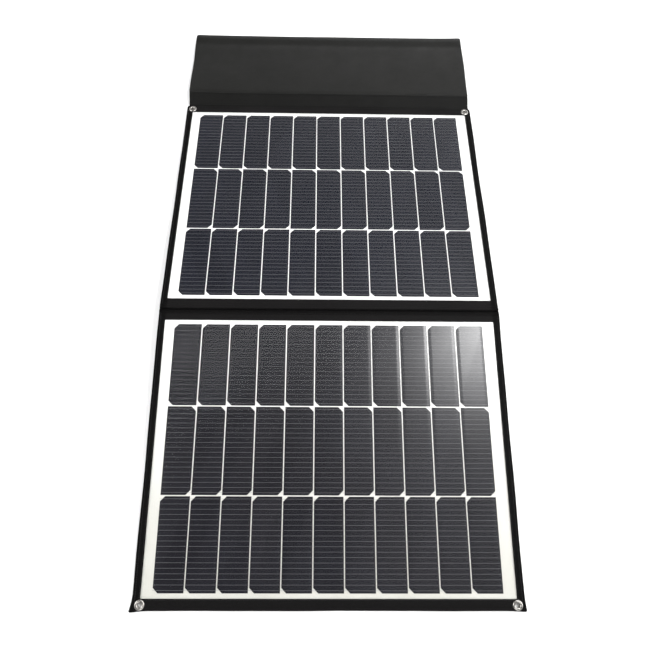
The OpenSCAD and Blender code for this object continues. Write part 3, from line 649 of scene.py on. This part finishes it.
def panel_back(plate, side, name):
    """The case fabric over the panel's back, pressed in along the board's edge."""
    def rounding(x, y):
        return swell(x, -half_x, half_x, 1.6) * swell(y, -half_y, half_y, 1.6)

    edge_x, edge_y = window_x + TUCK + 1.2, window_y + TUCK + 1.2

    def under(x, y):
        across = bell(abs(x), edge_x, 1.6) * (abs(y) < edge_y + 1.5)
        along = bell(abs(y), edge_y, 1.6) * (abs(x) < edge_x + 1.5)
        puff = 0.22 + 0.2 * ripple(x, y, 160, 2.6 + side)
        return 0.55 - rounding(x, y) * (0.55 + puff - 0.5 * np.maximum(across, along))

    xs, ys = [np.unique(np.concatenate([graded(-half, half, 9, 1.6)]
                                       + [s * edge + np.linspace(-3, 3, 7) for s in (-1, 1)]))
              for half, edge in ((half_x, edge_x), (half_y, edge_y))]
    piece = make(name + "_back_cloth", plate, slab(xs, ys, level(skin_z - 0.02), under), case_cloth)
    punch(piece, plate, eyelet_spots(plate, name), EYELET_HOLE)
    attach(piece, "case_fabric", name + "_panel", name + "_back_cover")


def panel_seams(plate, name):
    """Stitches round the window and along the side edges in front, and round the board behind."""
    def rectangle(reach_x, reach_y):
        return outline(-reach_x, -reach_y, reach_x, reach_y)

    body = name + "_panel"
    seams = rectangle(window_x + 2.0, window_y + 2.0) + rectangle(half_x - 4.5, half_y - 4.5)[1::2]
    stitches(name + "_front_stitching", plate, body, seams, level(front_z - 0.02))
    seams = rectangle(window_x + TUCK + 2.2, window_y + TUCK + 2.2)
    stitches(name + "_back_stitching", plate, body, seams, level(0.02))


def fold_web():
    """One strip of cloth over the fold line, sewn to both panels and creased in the middle."""
    xs = graded(-half_x + 0.8, half_x - 0.8, 11, 1.5)
    ys = np.array([-8.6, -8.0, -7.2, -5.6, -4.4, -3.2, -2.2, -1.5, -1.0, -0.55, 0,
                   0.55, 1.0, 1.5, 2.2, 3.2, 4.4, 5.4, 6.0, 6.3])

    def top(x, y):
        slack = 0.25 * ripple(x, y, 90, 0.9)
        roll = 0.34 * step(abs(y), 2.0, 4.5)
        return front_z + roll + slack * step(abs(y), 0.5, 4) - 2.6 * bell(y, 0.0, 1.6)

    def bottom(x, y):
        return np.minimum(top(x, y) - 0.7, front_z - 0.3)

    vertices, faces = slab(xs, ys, top, bottom)
    above = vertices[:, 1] > 0
    vertices[:, 1] += np.where(above, -fold_y, fold_y)
    placed = np.where(above[:, None], upper.row(vertices), lower.row(vertices))
    piece = build("fold_web", placed, faces, case_cloth)
    attach(piece, "case_fabric", None, "upper_hinge_web", "lower_hinge_web")
    upper.row((0, -fold_y + 3.4, front_z))
    lower.row((0, fold_y - 3.4, front_z))
    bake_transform(piece)


# ---------- Spine and closing flap ----------

def curl(x, share):
    """The strip's second crease rises at its left end and sags at its right end."""
    side = x / flap_half
    return -3.7 * np.sign(side) * abs(side) ** 2.2 * share


def spine_curl(x, y):
    return curl(x, np.clip(y / spine_length, 0, 1))


def flap_curl(x, y):
    return curl(x, np.where(y < 0, np.clip(1 + y / spine_length, 0, 1), 1 - step(y, 0, 120)))


def plate_skin(x, y, length):
    """How far a padded plate is swollen: 0 at its rim, 1 inside."""
    return swell(x, -flap_half, flap_half, 3.0) * swell(y, plate_gap, length, 2.2)


def crossing(name, shape, look, first, second, offset, ends, stands_for):
    """Cloth over a crease: its points before the crease lie in the first plate's frame, shifted by offset."""
    vertices, faces = shape
    placed = np.where(vertices[:, 1:2] < 0, first.row(vertices + offset), second.row(vertices))
    piece = build(name, placed, faces, look)
    attach(piece, "case_fabric", None, *stands_for)
    first.row(ends[0])
    second.row(ends[1])
    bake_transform(piece)


def spine_cloth():
    last = spine_length - plate_gap

    def top(x, y):
        body = plate_top - 0.25 + 0.45 * plate_skin(x, y, last) + 0.5 * ripple(x, y, 130, 0.7)
        tuck_in = 0.5 * step(y, spine_length - 6, spine_length - 3.5)
        return np.where(y < plate_gap, plate_top + 0.22 + 0 * x, body - tuck_in) + spine_curl(x, y)

    def bottom(x, y):
        body = plate_top - 1.2 + (plate_low - plate_top + 1.2) * plate_skin(x, y, last)
        return np.where(y < plate_gap, plate_top - 0.6, body) + spine_curl(x, y)

    xs = graded(-flap_half, flap_half, 9, 3.0)
    ys = np.concatenate([[-3.6, -3.2, -2.2, -1.2, -0.5, 0, 0.6], graded(plate_gap, last, 3.2, 2.0)])
    crossing("spine_cloth", slab(xs, ys, top, bottom), spine_look, upper, spine, (0, crease_y, crease_z),
             ((0, crease_y - 1.6, crease_z), (0, plate_gap, 0)),
             ("spine_front_skin", "spine_back_skin"))


def flap_lift(x, y):
    """The flap's curl, and the small lift of its far right corner."""
    return flap_curl(x, y), 1.2 * np.exp(-((x - flap_half) / 34) ** 2 - ((y - flap_length) / 26) ** 2)


def flap_cloth():
    valley = flap_length - 30.0

    def top(x, y):
        body = plate_top + 0.1 + 0.4 * plate_skin(x, y, flap_length)
        body += (0.25 + 0.45 * ripple(x, y, 260, 0.2)) * step(y, 6, 40) * plate_skin(x, y, flap_length)
        dip = 2.0 * step(y, valley - 1, valley + 20) - 0.55 * step(y, 60, valley - 18)
        dip -= 0.6 * step(y, valley - 20, valley) + 1.0 * step(y, valley + 20, flap_length)
        body += dip * swell(x, -flap_half, flap_half, 14)
        bend, flick = flap_lift(x, y)
        return np.where(y < plate_gap, plate_top + 0.3 + 0 * x, body) + bend + flick

    def bottom(x, y):
        body = plate_top - 1.4 + (plate_low - plate_top + 1.2) * plate_skin(x, y, flap_length)
        bend, flick = flap_lift(x, y)
        return np.where(y < plate_gap, plate_top - 0.35, body) + bend + flick

    xs = graded(-flap_half, flap_half, 9, 3.0)
    ys = np.concatenate([[-3.8, -3.4, -2.4, -1.2, -0.5, 0, 0.6], graded(plate_gap, valley - 9, 8, 2.0)[:-3],
                         np.linspace(valley - 8, valley + 12, 13),
                         graded(valley + 14, flap_length, 4, 2.2)[3:]])
    vertices, faces = slab(xs, ys, top, bottom)
    x, y = vertices[:, 0].copy(), vertices[:, 1].copy()
    vertices[:, 0] = x * (1 - drawn_in(y, flap_length, 5.0) / flap_half * (abs(x) / flap_half) ** 12)
    far = step(y, 60, flap_length)
    vertices[:, 1] += far * (2.2 * (x / flap_half) ** 2 - 1.6 + 0.9 * ripple(x, 0 * x, 420, 0.5))
    vertices[:, 0] += 0.8 * ripple(0 * x, y, 150, 1.9) * (abs(x) / flap_half) ** 6
    crossing("flap_cloth", (vertices, faces), flap_cloth_look, spine, flap, (0, spine_length, 0),
             ((0, spine_length - 1.6, 0), (0, plate_gap, 0)),
             ("flap_front_skin", "flap_back_skin"))


def stiffener(name, node, plate, body, lift, near=0.0, far=0.0):
    """A flexible board inside the cloth, which follows the cloth's curl and keeps clear of its creases."""
    low, high = plate.box(node)
    low[1], high[1] = low[1] + near, high[1] - far
    xs, ys = graded(low[0], high[0], 16, 1.0), graded(low[1], high[1], 8, 1.0)
    rounded = lambda x, y: swell(x, low[0], high[0], 0.8) * swell(y, low[1], high[1], 0.8)
    middle, half = (low[2] + high[2]) / 2, (high[2] - low[2]) / 2
    shape = slab(xs, ys, lambda x, y: middle + half * (0.6 + 0.4 * rounded(x, y)) + lift(x, y),
                 lambda x, y: middle - half * (0.6 + 0.4 * rounded(x, y)) + lift(x, y))
    piece = make(name, plate, shape, board_look)
    attach(piece, "stiffener", body, node)


# ---------- Cloth simulation ----------

def inflate(piece, voxel, cap, pressure, held):
    """Swells a closed mesh like air-filled cloth, with the points in held fixed. Lengths are in
    millimetres, and no point moves further than cap."""
    remesh = piece.modifiers.new("even", "REMESH")
    remesh.mode = "VOXEL"
    remesh.voxel_size = voxel * MM
    settle(piece)
    before = np.array([v.co for v in piece.data.vertices])
    cloth = piece.modifiers.new("cloth", "CLOTH").settings
    cloth.use_pressure = True
    cloth.uniform_pressure_force = pressure
    cloth.effector_weights.gravity = 0
    group = piece.vertex_groups.new(name="sewn_edge")
    group.add([int(i) for i in np.flatnonzero(held(before))], 1.0, "REPLACE")
    cloth.vertex_group_mass = "sewn_edge"
    for moment in range(1, 21):
        scene.frame_set(moment)
    seen = piece.evaluated_get(bpy.context.evaluated_depsgraph_get())
    move = np.array([v.co for v in seen.data.vertices]) - before
    length = np.linalg.norm(move, axis=1)[:, None]
    before = before + move * np.minimum(1, cap * MM / np.maximum(length, 1e-9))
    piece.modifiers.clear()
    piece.vertex_groups.clear()
    scene.frame_set(1)
    set_points(piece, before)
    settle(piece, 1)
    piece.data.polygons.foreach_set("use_smooth", [True] * len(piece.data.polygons))
    return piece


def set_points(piece, points):
    piece.data.vertices.foreach_set("co", np.asarray(points, np.float32).ravel())
    piece.data.update()


# ---------- Cable pocket ----------

pocket_low, pocket_high = lower.box("cable_pocket")


def pocket_bag():
    """A sewn bag on the lower panel's back, open at the mouth under the lid."""
    slim = 3.5                  # the bag swells back out by about this much
    low, high = pocket_low + slim, pocket_high - slim
    low[1], high[2] = pocket_low[1] + 0.5, -0.25
    middle, reach = (low + high) / 2, (high - low) / 2
    shares = np.concatenate([[0], np.linspace(0.04, 0.9, 12), [0.97, 1.0]])
    steps = []
    for share in shares:
        rounding = 1 - math.sqrt(max(0, 1 - max(0, (share - 0.6) / 0.4) ** 2))
        steps.append((6.0 * rounding - 1.5 * math.sin(math.pi * share), high[2] - share * (high[2] - low[2])))
    shape = terrace(reach, 9.0, (36, 26, 8), middle[:2], steps, cap=True)
    piece = make("pocket_bag", lower, shape, pocket_look)
    sewn = lambda points: lower.local(points)[:, 2] > high[2] - 3.0
    inflate(piece, 4.5, 5.0, 4.0, sewn)
    local = lower.local(points_of(piece))
    x, y, z = local.T
    puckers = 0.7 * ripple(x, 1.7 * z, 24, 0.3) + 0.6 * ripple(y, 1.4 * z, 27, 1.8)
    side = step(-z, 1, 8) * (1 - step(-z, 19, 24))
    local[:, 0] += puckers * side * np.sign(x - middle[0]) * (abs(x - middle[0]) > reach[0] - 9)
    local[:, 1] += puckers * side * (y > high[1] - 9)
    local[:, 2] += 0.8 * ripple(x, y, 70, 1.1) * step(-z, 17, 22)
    local[:, 1] = np.clip(local[:, 1], pocket_low[1] + 0.4, pocket_high[1] + 1.5)
    local[:, 0] = np.clip(local[:, 0], pocket_low[0] - 1.5, pocket_high[0] + 1.5)
    local[:, 2] = np.clip(local[:, 2], pocket_low[2] + 0.15, -0.15)
    set_points(piece, lower.row(local))
    shell = bmesh.new()
    shell.from_mesh(piece.data)
    mouth = [f for f in shell.faces if in_mouth(lower.local(np.array([f.calc_center_median()]))[0])]
    bmesh.ops.delete(shell, geom=mouth, context="FACES")
    shell.to_mesh(piece.data)
    shell.free()
    skin = piece.modifiers.new("skin", "SOLIDIFY")
    skin.thickness = 0.9 * MM
    skin.offset = -1
    settle(piece)
    attach(piece, "case_fabric", "lower_panel", "cable_pocket")


def in_mouth(point):
    x, y, z = point
    inside_x = pocket_low[0] + 9 < x < pocket_high[0] - 9
    return inside_x and y < pocket_low[1] + 4.0 and pocket_low[2] + 4.5 < z < -2.5


def mouth_binding():
    """Tape folded over the cut edge of the pocket's mouth."""
    low, high = pocket_low[2] + 4.2, -2.2
    reach_x, reach_z = (pocket_high[0] - pocket_low[0]) / 2 - 9, (high - low) / 2
    loops = []
    for angle in turns(10):
        out, y = 1.3 * math.cos(angle), 1.5 * math.sin(angle)
        loop = rounded_loop(reach_x + out, reach_z + out, 4.0 + out, 50, 8, 8)
        loops.append(np.c_[loop[:, 0] + (pocket_low[0] + pocket_high[0]) / 2,
                           np.full(len(loop), pocket_low[1] + 1.3 + y), loop[:, 1] + (low + high) / 2])
    piece = make("pocket_binding", lower, lofted(loops, wrap=True), tape_look)
    attach(piece, "webbing", "lower_panel")


def fastening(name, node, body, out):
    """A patch of hook-and-loop tape with a sewn border; out is the side its pile stands on."""
    low, high = lower.box(node)
    rest = high[2] if out < 0 else low[2]
    depth = high[2] - low[2]

    def pile(x, y):
        inside = swell(x, low[0] + 1.6, high[0] - 1.6, 0.5) * swell(y, low[1] + 1.6, high[1] - 1.6, 0.5)
        tufts = abs(np.sin(x / 1.9 * TAU + 1.3 * np.sin(y * 0.9)) * np.sin(y / 1.7 * TAU + np.sin(x * 0.7)))
        return rest + out * depth * (0.45 + inside * (0.1 + 0.45 * tufts))

    shape = slab(np.linspace(low[0], high[0], 240), np.linspace(low[1], high[1], 52), pile, level(rest))
    piece = make(name, lower, shape, hook_look)
    attach(piece, "hook_loop", body, node)


def pocket_flange():
    """The turned edge that sews the bag down on three sides, with its stitches."""
    wide, t = 7.0, 0.9
    middle, reach = lower.core("cable_pocket")
    steps = [(0.4, -0.1), (-wide + 0.8, -0.1), (-wide, -0.1 - t / 2), (-wide + 0.8, -t),
             (-wide / 2, -t - 0.15), (0.2, -t - 0.3)]
    vertices, faces = terrace(reach, 5.0, (36, 26, 6), middle[:2], steps, wrap=True)
    vertices[:, 1] = np.maximum(vertices[:, 1], pocket_low[1] + 1.0)
    attach(make("pocket_flange", lower, (vertices, faces), pocket_look), "case_fabric", "lower_panel")
    left, right = pocket_low[0] - wide / 2, pocket_high[0] + wide / 2
    near, far = pocket_low[1] + 2.0, pocket_high[1] + wide / 2
    seams = [((left, near), (left, far)), ((left, far), (right, far)), ((right, far), (right, near))]
    stitches("pocket_stitching", lower, "lower_panel", seams, level(-t - 0.22))


def pocket_lid():
    """A flap sewn past the mouth that folds over the bag's face."""
    low, high = lower.box("pocket_lid")
    thick = 1.1
    bend = 5.0
    root_y, root_z = low[1] + thick / 2, -0.9
    face_z = low[2] + thick / 2
    drop = root_z - face_z - bend
    turn = bend * math.pi / 2
    run = high[1] - low[1] - thick / 2 - bend
    half = (high[0] - low[0]) / 2
    middle = (high[0] + low[0]) / 2

    def place(x, s, lift):
        """From the strip's own length s and height over its middle to the panel's frame."""
        angle = np.clip((s - drop) / bend, 0, math.pi / 2)
        past = np.maximum(s - drop - turn, 0)
        y = root_y + bend * (1 - np.cos(angle)) + past - lift * np.cos(angle)
        z = root_z - np.minimum(s, drop) - bend * np.sin(angle) - lift * np.sin(angle)
        return np.c_[x, y, z]

    total = drop + turn + run
    xs = graded(-half, half, 7, 1.2)
    ss = np.concatenate([np.linspace(0, drop, 7)[:-1], np.linspace(drop, drop + turn, 8)[:-1],
                         graded(drop + turn, total, 4, 1.2)[3:]])

    def outside(x, s):
        hem = -0.35 * bell(s, total - 6, 1.0) + 0.15 * step(s, total - 5, total - 3)
        puff = thick * (0.15 + 0.35 * swell(x, -half, half, 1.2) * swell(s, -9, total, 1.2))
        return puff + hem + 0.25 * ripple(x, s, 46, 2.2) * step(s, 4, 12)

    def inside(x, s):
        return -thick * (0.15 + 0.3 * swell(x, -half, half, 1.2) * swell(s, -9, total, 1.2))

    vertices, faces = slab(xs, ss, outside, inside)
    x, s, lift = vertices.T
    x = x * (1 - drawn_in(s, total, 9.0) / half * (abs(x) / half) ** 8)
    piece = build("pocket_lid_cloth", lower.row(place(x, s, lift) + (middle, 0, 0)), faces, pocket_look)
    attach(piece, "case_fabric", None, "pocket_lid")
    lower.row((middle, root_y, root_z + 0.3))
    lower.row((middle, root_y, root_z - 3.0))
    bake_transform(piece)


# ---------- Junction boxes and cables ----------

def box_fittings(plate, name):
    """Raised rim and ribs on the junction box's lid."""
    middle, reach = plate.core(name + "_junction_lid")
    face = plate.box(name + "_junction_lid")[0][2]
    rim = [(3.0, face + 0.2), (3.2, face - 0.55), (3.7, face - 0.8), (4.6, face - 0.8),
           (5.1, face - 0.55), (5.3, face + 0.2)]
    rib = [(0.0, face + 0.2), (0.2, face - 0.5), (0.5, face - 0.7)]
    parts = [terrace(reach, 3.0, (14, 10, 6), middle[:2], rim, wrap=True)]
    parts += [terrace((0.9, 12), 0.35, (2, 6, 4), middle[:2] + (offset, 0), rib, cap=True)
              for offset in np.linspace(-15, 15, 7)]
    ribs = make(name + "_lid_ribs", plate, gather(parts), box_look)
    attach(ribs, "box_plastic", name + "_panel")


def jumper_cables():
    """Two slack leads between the junction boxes, under the fold line."""
    upper_low, upper_high = upper.box("upper_jumper_leads")
    lower_low = lower.box("lower_jumper_leads")[0]
    radius = (upper_high[2] - upper_low[2]) / 2
    height = (upper_high[2] + upper_low[2]) / 2
    start, end = upper_high[1] + fold_y, lower_low[1] - fold_y
    for number, x in ((1, upper_low[0] + radius), (2, upper_high[0] - radius)):
        v = np.linspace(start, end, 60)
        slack = np.sin(np.linspace(0, math.pi, len(v))) ** 2
        bow = (1.6 if number == 2 else -1.6) * slack
        path = np.c_[x + bow, np.where(v > 0, v - fold_y, v + fold_y), height - 2.2 * slack]
        along = np.where((v > 0)[:, None], upper.row(path), lower.row(path)) / MM
        vertices, faces = tube(along, radius)
        piece = build(f"jumper_cable_{number}", vertices * MM, faces, cable_look)
        stands_for = ("upper_jumper_leads", "lower_jumper_leads") if number == 1 else ()
        attach(piece, "cable_rubber", None, *stands_for)
        upper.row((x, -fold_y + 14, height))
        lower.row((x, fold_y - 14, height))
        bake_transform(piece)


# ---------- Support legs ----------

def foot_grip(plate, name):
    """Ribbed rubber sleeve round the leg's foot bar."""
    low, high = plate.box(name + "_leg_foot")
    middle = (low + high) / 2
    outer, inner = (high[2] - low[2]) / 2, (high[2] - low[2]) / 2 - 0.95
    count, rib = 32, 4.0
    angles = turns(count)
    along = np.arange(low[1], high[1] + 0.01, 0.5)
    end = swell(along, low[1], high[1], 1.2)
    radii = inner + (outer - inner) * (0.55 + 0.45 * end) - 0.32 * (np.cos(along / rib * TAU) > 0.3)
    steps = [(y, r) for y, r in zip(along, radii)] + [(high[1], inner), (low[1], inner)]
    loops = [np.c_[middle[0] + r * np.cos(angles), np.full(count, y), middle[2] + r * np.sin(angles)]
             for y, r in steps]
    piece = make(name + "_foot_grip", plate, lofted(loops, wrap=True), foot_look)
    attach(piece, "foot_rubber", name + "_leg", name + "_leg_foot")


# ---------- Carry handle ----------

def bar_loop(x, y, z, reach, outer):
    """Vertices and faces of a webbing loop round a ring's bar along x."""
    count, inner = 26, 1.62
    angles = turns(count)
    rings = [np.c_[np.full(count, x + offset), y + radius * np.cos(angles), z + radius * np.sin(angles)]
             for offset, radius in ((-reach, inner), (-reach, outer - 0.3), (0.6 - reach, outer),
                                    (reach - 0.6, outer), (reach, outer - 0.3), (reach, inner))]
    return lofted(rings, wrap=True)


def ring_tabs():
    """Webbing tabs sewn to the spine's back, each looped round one ring's inner bar."""
    low, high = spine.box("handle_anchors")
    thick, drop = 1.2, 2.8
    reach_y, middle_y = (high[1] - low[1]) / 2, (high[1] + low[1]) / 2
    ring_x = spine.box("handle_rings")[1][0] - 18.5
    parts, seams = [], []
    for x in (-ring_x, ring_x):
        layers = [(0.0, high[2] - 0.1), (0.0, high[2] - 0.8), (0.35, high[2] - thick)]
        parts += [terrace((12.5, reach_y), 0.9, (12, 12, 4), (x, middle_y), layers, cap=True),
                  bar_loop(x, middle_y, high[2] - drop, 12.3, 2.75)]
        for a, b in ((middle_y - reach_y + 1.8, middle_y - 4.2), (middle_y + 4.2, middle_y + reach_y - 1.8)):
            seams += outline(x - 10.6, a, x + 10.6, b)
    tabs = make("ring_tabs", spine, gather(parts), tape_look)
    attach(tabs, "webbing", "spine", "handle_anchors")
    stitches("ring_tab_stitching", spine, "spine", seams, level(high[2] - thick - 0.02), "webbing", 2.0, 2.8)


def handle_path():
    """The strap's middle line from the left ring round to the right, its width and the rings' height."""
    high = handle.box("handle_strap")[1]
    wide, bend, past_ring = 24.0, 25.0, 2.2
    side, top = high[0] - wide / 2, high[1] - wide / 2
    ring_y = handle.box("handle_rings")[1][1] - 1.5
    angles = np.linspace(math.pi, math.pi / 2, 12)
    left = np.c_[-side + bend + bend * np.cos(angles), top - bend + bend * np.sin(angles)]
    legs = np.c_[np.full(8, -side), np.linspace(ring_y + past_ring, top - bend, 9)[:-1]]
    across = np.c_[np.linspace(-side + bend, side - bend, 22)[1:-1], np.full(20, top)]
    half = np.concatenate([legs, left])
    return np.concatenate([half, across, half[::-1] * (-1, 1)]), wide, ring_y


def handle_strap():
    """Webbing bent into a U, doubled and sewn where its ends loop round the rings."""
    path, wide, ring_y = handle_path()
    forward = unit(np.gradient(path, axis=0))
    sideways = np.c_[forward[:, 1], -forward[:, 0]]
    sewn_end = ring_y + 24.0
    doubled = 1 - step(path[:, 1], sewn_end - 1.0, sewn_end + 1.0)
    angles = turns(32)
    across, thick = squared(np.cos(angles), 0.25), squared(np.sin(angles), 0.7)
    loops = [np.c_[point + np.outer(across, side) * (wide / 2 - 0.4), thick * (0.95 + 0.45 * extra)]
             for point, side, extra in zip(path, sideways, doubled)]
    parts = [lofted(loops, cap=True)]
    parts += [bar_loop(x, ring_y, 0.0, 11.6, 2.8) for x in (path[0, 0], path[-1, 0])]
    piece = make("handle_webbing", handle, gather(parts), tape_look)
    attach(piece, "webbing", "handle", "handle_strap")
    seams = []
    for x in (path[0, 0], path[-1, 0]):
        a, b, c, d = x - 8.5, x + 8.5, ring_y + 6, sewn_end - 2.5
        seams += outline(a, c, b, d) + [((a, c), (b, d)), ((b, c), (a, d))]
    for name, face in (("handle_stitching_front", 1), ("handle_stitching_back", -1)):
        stitches(name, handle, "handle", seams, level(face * 1.42), "webbing", 2.2, 3.0)


def handle_grip():
    """Padded sleeve over the middle of the strap, pinched at its ends and quilted across."""
    middle, reach = handle.core("handle_grip")
    reach = reach - 0.5
    loops = []
    for share in np.concatenate([[-1, -0.985, -0.95], np.linspace(-0.9, 0.9, 31), [0.95, 0.985, 1]]):
        plump = 0.72 + 0.28 * float(swell(np.array(share), -1, 1, 0.09))
        angles = turns(40)
        c, s = np.cos(angles), np.sin(angles)
        y = middle[1] + squared(c, 0.55) * reach[1] * (0.93 + 0.07 * plump)
        z = middle[2] + squared(s, 0.8) * reach[2] * plump
        loops.append(np.c_[np.full(40, middle[0] + share * reach[0]), y, z])
    piece = make("handle_pad", handle, lofted(loops, cap=True), grip_look)
    ends = lambda points: abs(handle.local(points)[:, 0] - middle[0]) > reach[0] - 2.5
    inflate(piece, 1.9, 1.2, 3.0, ends)
    local = handle.local(points_of(piece))
    across = np.minimum.reduce([abs(local[:, 0] - middle[0] - s) for s in (-36, -12, 12, 36)])
    local[:, 2] = middle[2] + (local[:, 2] - middle[2]) * (1 - 0.20 * np.exp(-(across / 1.3) ** 2))
    set_points(piece, handle.row(local))
    attach(piece, "grip_fabric", "handle", "handle_grip")


# ---------- Everything on the panels ----------

for panel_name, panel_plate, panel_side in panels:
    panel_edge(panel_plate, panel_side, panel_name)
    panel_back(panel_plate, panel_side, panel_name)
    panel_seams(panel_plate, panel_name)
    for look, part, rounding in (
            (film_look, "front_film", 0), (cell_look, "cells", 0), (wire_look, "cell_wires", 0),
            (tin, "bus_ribbons", 0), (sheet_look, "backsheet", 0), (board_look, "stiffener_board", 0),
            (nickel, "eyelets", 0), (nickel, "eyelet_washers", 0), (box_look, "junction_box", 0.8),
            (box_look, "junction_lid", 0.8), (diode_look, "bypass_diode", 0.2), (steel, "leg_clips", 0.3),
            (steel, "leg_rivets", 0), (leg_look, "leg_frame", 0)):
        dress(look, f"{panel_name}_{part}", bevel=rounding)
    foot_grip(panel_plate, panel_name)
    box_fittings(panel_plate, panel_name)

fold_web()
jumper_cables()
spine_cloth()
flap_cloth()
stiffener("spine_stiffener", "spine_board", spine, "spine", spine_curl, far=3.5)
stiffener("flap_stiffener", "flap_board", flap, "flap", flap_curl, near=4.0)

dress(steel, "keeper_plates", "flap_magnets", bevel=0.3)
pocket_bag()
pocket_flange()
mouth_binding()
pocket_lid()
fastening("loop_patch", "pocket_loop_patch", "lower_panel", -1)
fastening("hook_patch", "lid_hook_patch", "lid", 1)
dress(cable_look, "output_cables")
dress(plug_look, "plug_connector", "socket_connector", bevel=0.4)
dress(nickel, "handle_rings")
ring_tabs()
handle_strap()
handle_grip()


# ---------- Stage ----------

def area_light(name, place, aim, size, power):
    data = bpy.data.lights.new(name, "AREA")
    data.shape = "RECTANGLE"
    data.size, data.size_y = size
    data.energy = power
    light = bpy.data.objects.new(name, data)
    light.location = place
    light.rotation_euler = (Vector(aim) - Vector(place)).to_track_quat("-Z", "Y").to_euler()
    scene.collection.objects.link(light)


def floor():
    size = 9000
    xs = np.linspace(-size, size, 13)
    vertices, faces = slab(xs, xs, level(-0.3), level(-40))
    r = Recipe("studio_floor")
    shade = r.mix(r.span(r.noise(1.2), 0.3, 0.7), (0.90, 0.90, 0.90), (0.94, 0.94, 0.94))
    # painted light: the floor glows more with distance, making up for the light its far part lacks so that it
    # fades into the white background
    distance = r.add("ShaderNodeVectorMath", {"operation": "LENGTH"}, Vector=r.place).outputs["Value"]
    r.finish(Base_Color=shade, Roughness=0.9, Specular_IOR_Level=0.1, Emission_Color=(1.0, 1.0, 1.0),
             Emission_Strength=r.span(distance, 1.0, 4.0, 0.0, 0.45))
    build("studio_floor", vertices * MM, faces, r.material, smooth=False)


def sky():
    world = bpy.data.worlds.new("studio")
    scene.world = world
    world.use_nodes = True
    r = Recipe("studio", world)
    height = r.span(r.z, 0.2, 0.9, 0.95, r.span(r.x, -0.30, 0.32, 0.03, 0.50))
    behind = r.times(r.span(r.y, 0.2, 0.5), r.span(r.z, 0.36, 0.60, 1.5, 0.0))
    shoulder = r.times(r.span(r.y, 0.3, 0.52), 0.16)
    glow = r.math("ADD", height, r.math("ADD", behind, shoulder))
    dimmer = r.times(r.span(r.y, 0.5, 0.7), r.span(r.x, -0.22, 0.04, 0.75, 0.0))
    dimmer = r.times(dimmer, r.span(r.z, 0.56, 0.66, 1.0, 0.0))
    glow = r.times(glow, r.math("SUBTRACT", 1.0, dimmer))
    r.feed(world.node_tree.nodes["Background"], "Strength", glow)
    r.feed(world.node_tree.nodes["Background"], "Color", (1.0, 1.0, 1.0, 1.0))


def camera():
    data = bpy.data.cameras.new("camera")
    data.sensor_width = 36.0
    data.lens = 30.974
    eye = bpy.data.objects.new("camera", data)
    eye.location = pivot["panel_fold"] + np.array((-23.9, -416.4, 1006.0)) * MM
    eye.rotation_euler = [math.radians(a) for a in (20.881, -0.881, 0.119)]
    scene.collection.objects.link(eye)
    scene.camera = eye


floor()
sky()
for side in (-1, 1):
    area_light(f"side_box_{side}", (side * 2.9, -0.3, 2.1), (0, 0, 0), (2.2, 2.2), 92)
area_light("rear_box", (0, -2.8, 1.9), (0, 0, 0), (2.2, 1.4), 36)
area_light("glare", (1.11, 0.36, 2.5), (0.2, -0.2, 0), (0.30, 0.32), 36.0)
area_light("haze", (-0.45, 0.42, 2.5), (-0.2, -0.2, 0), (1.7, 0.6), 6.0)
camera()
scene.view_settings.view_transform = "Standard"
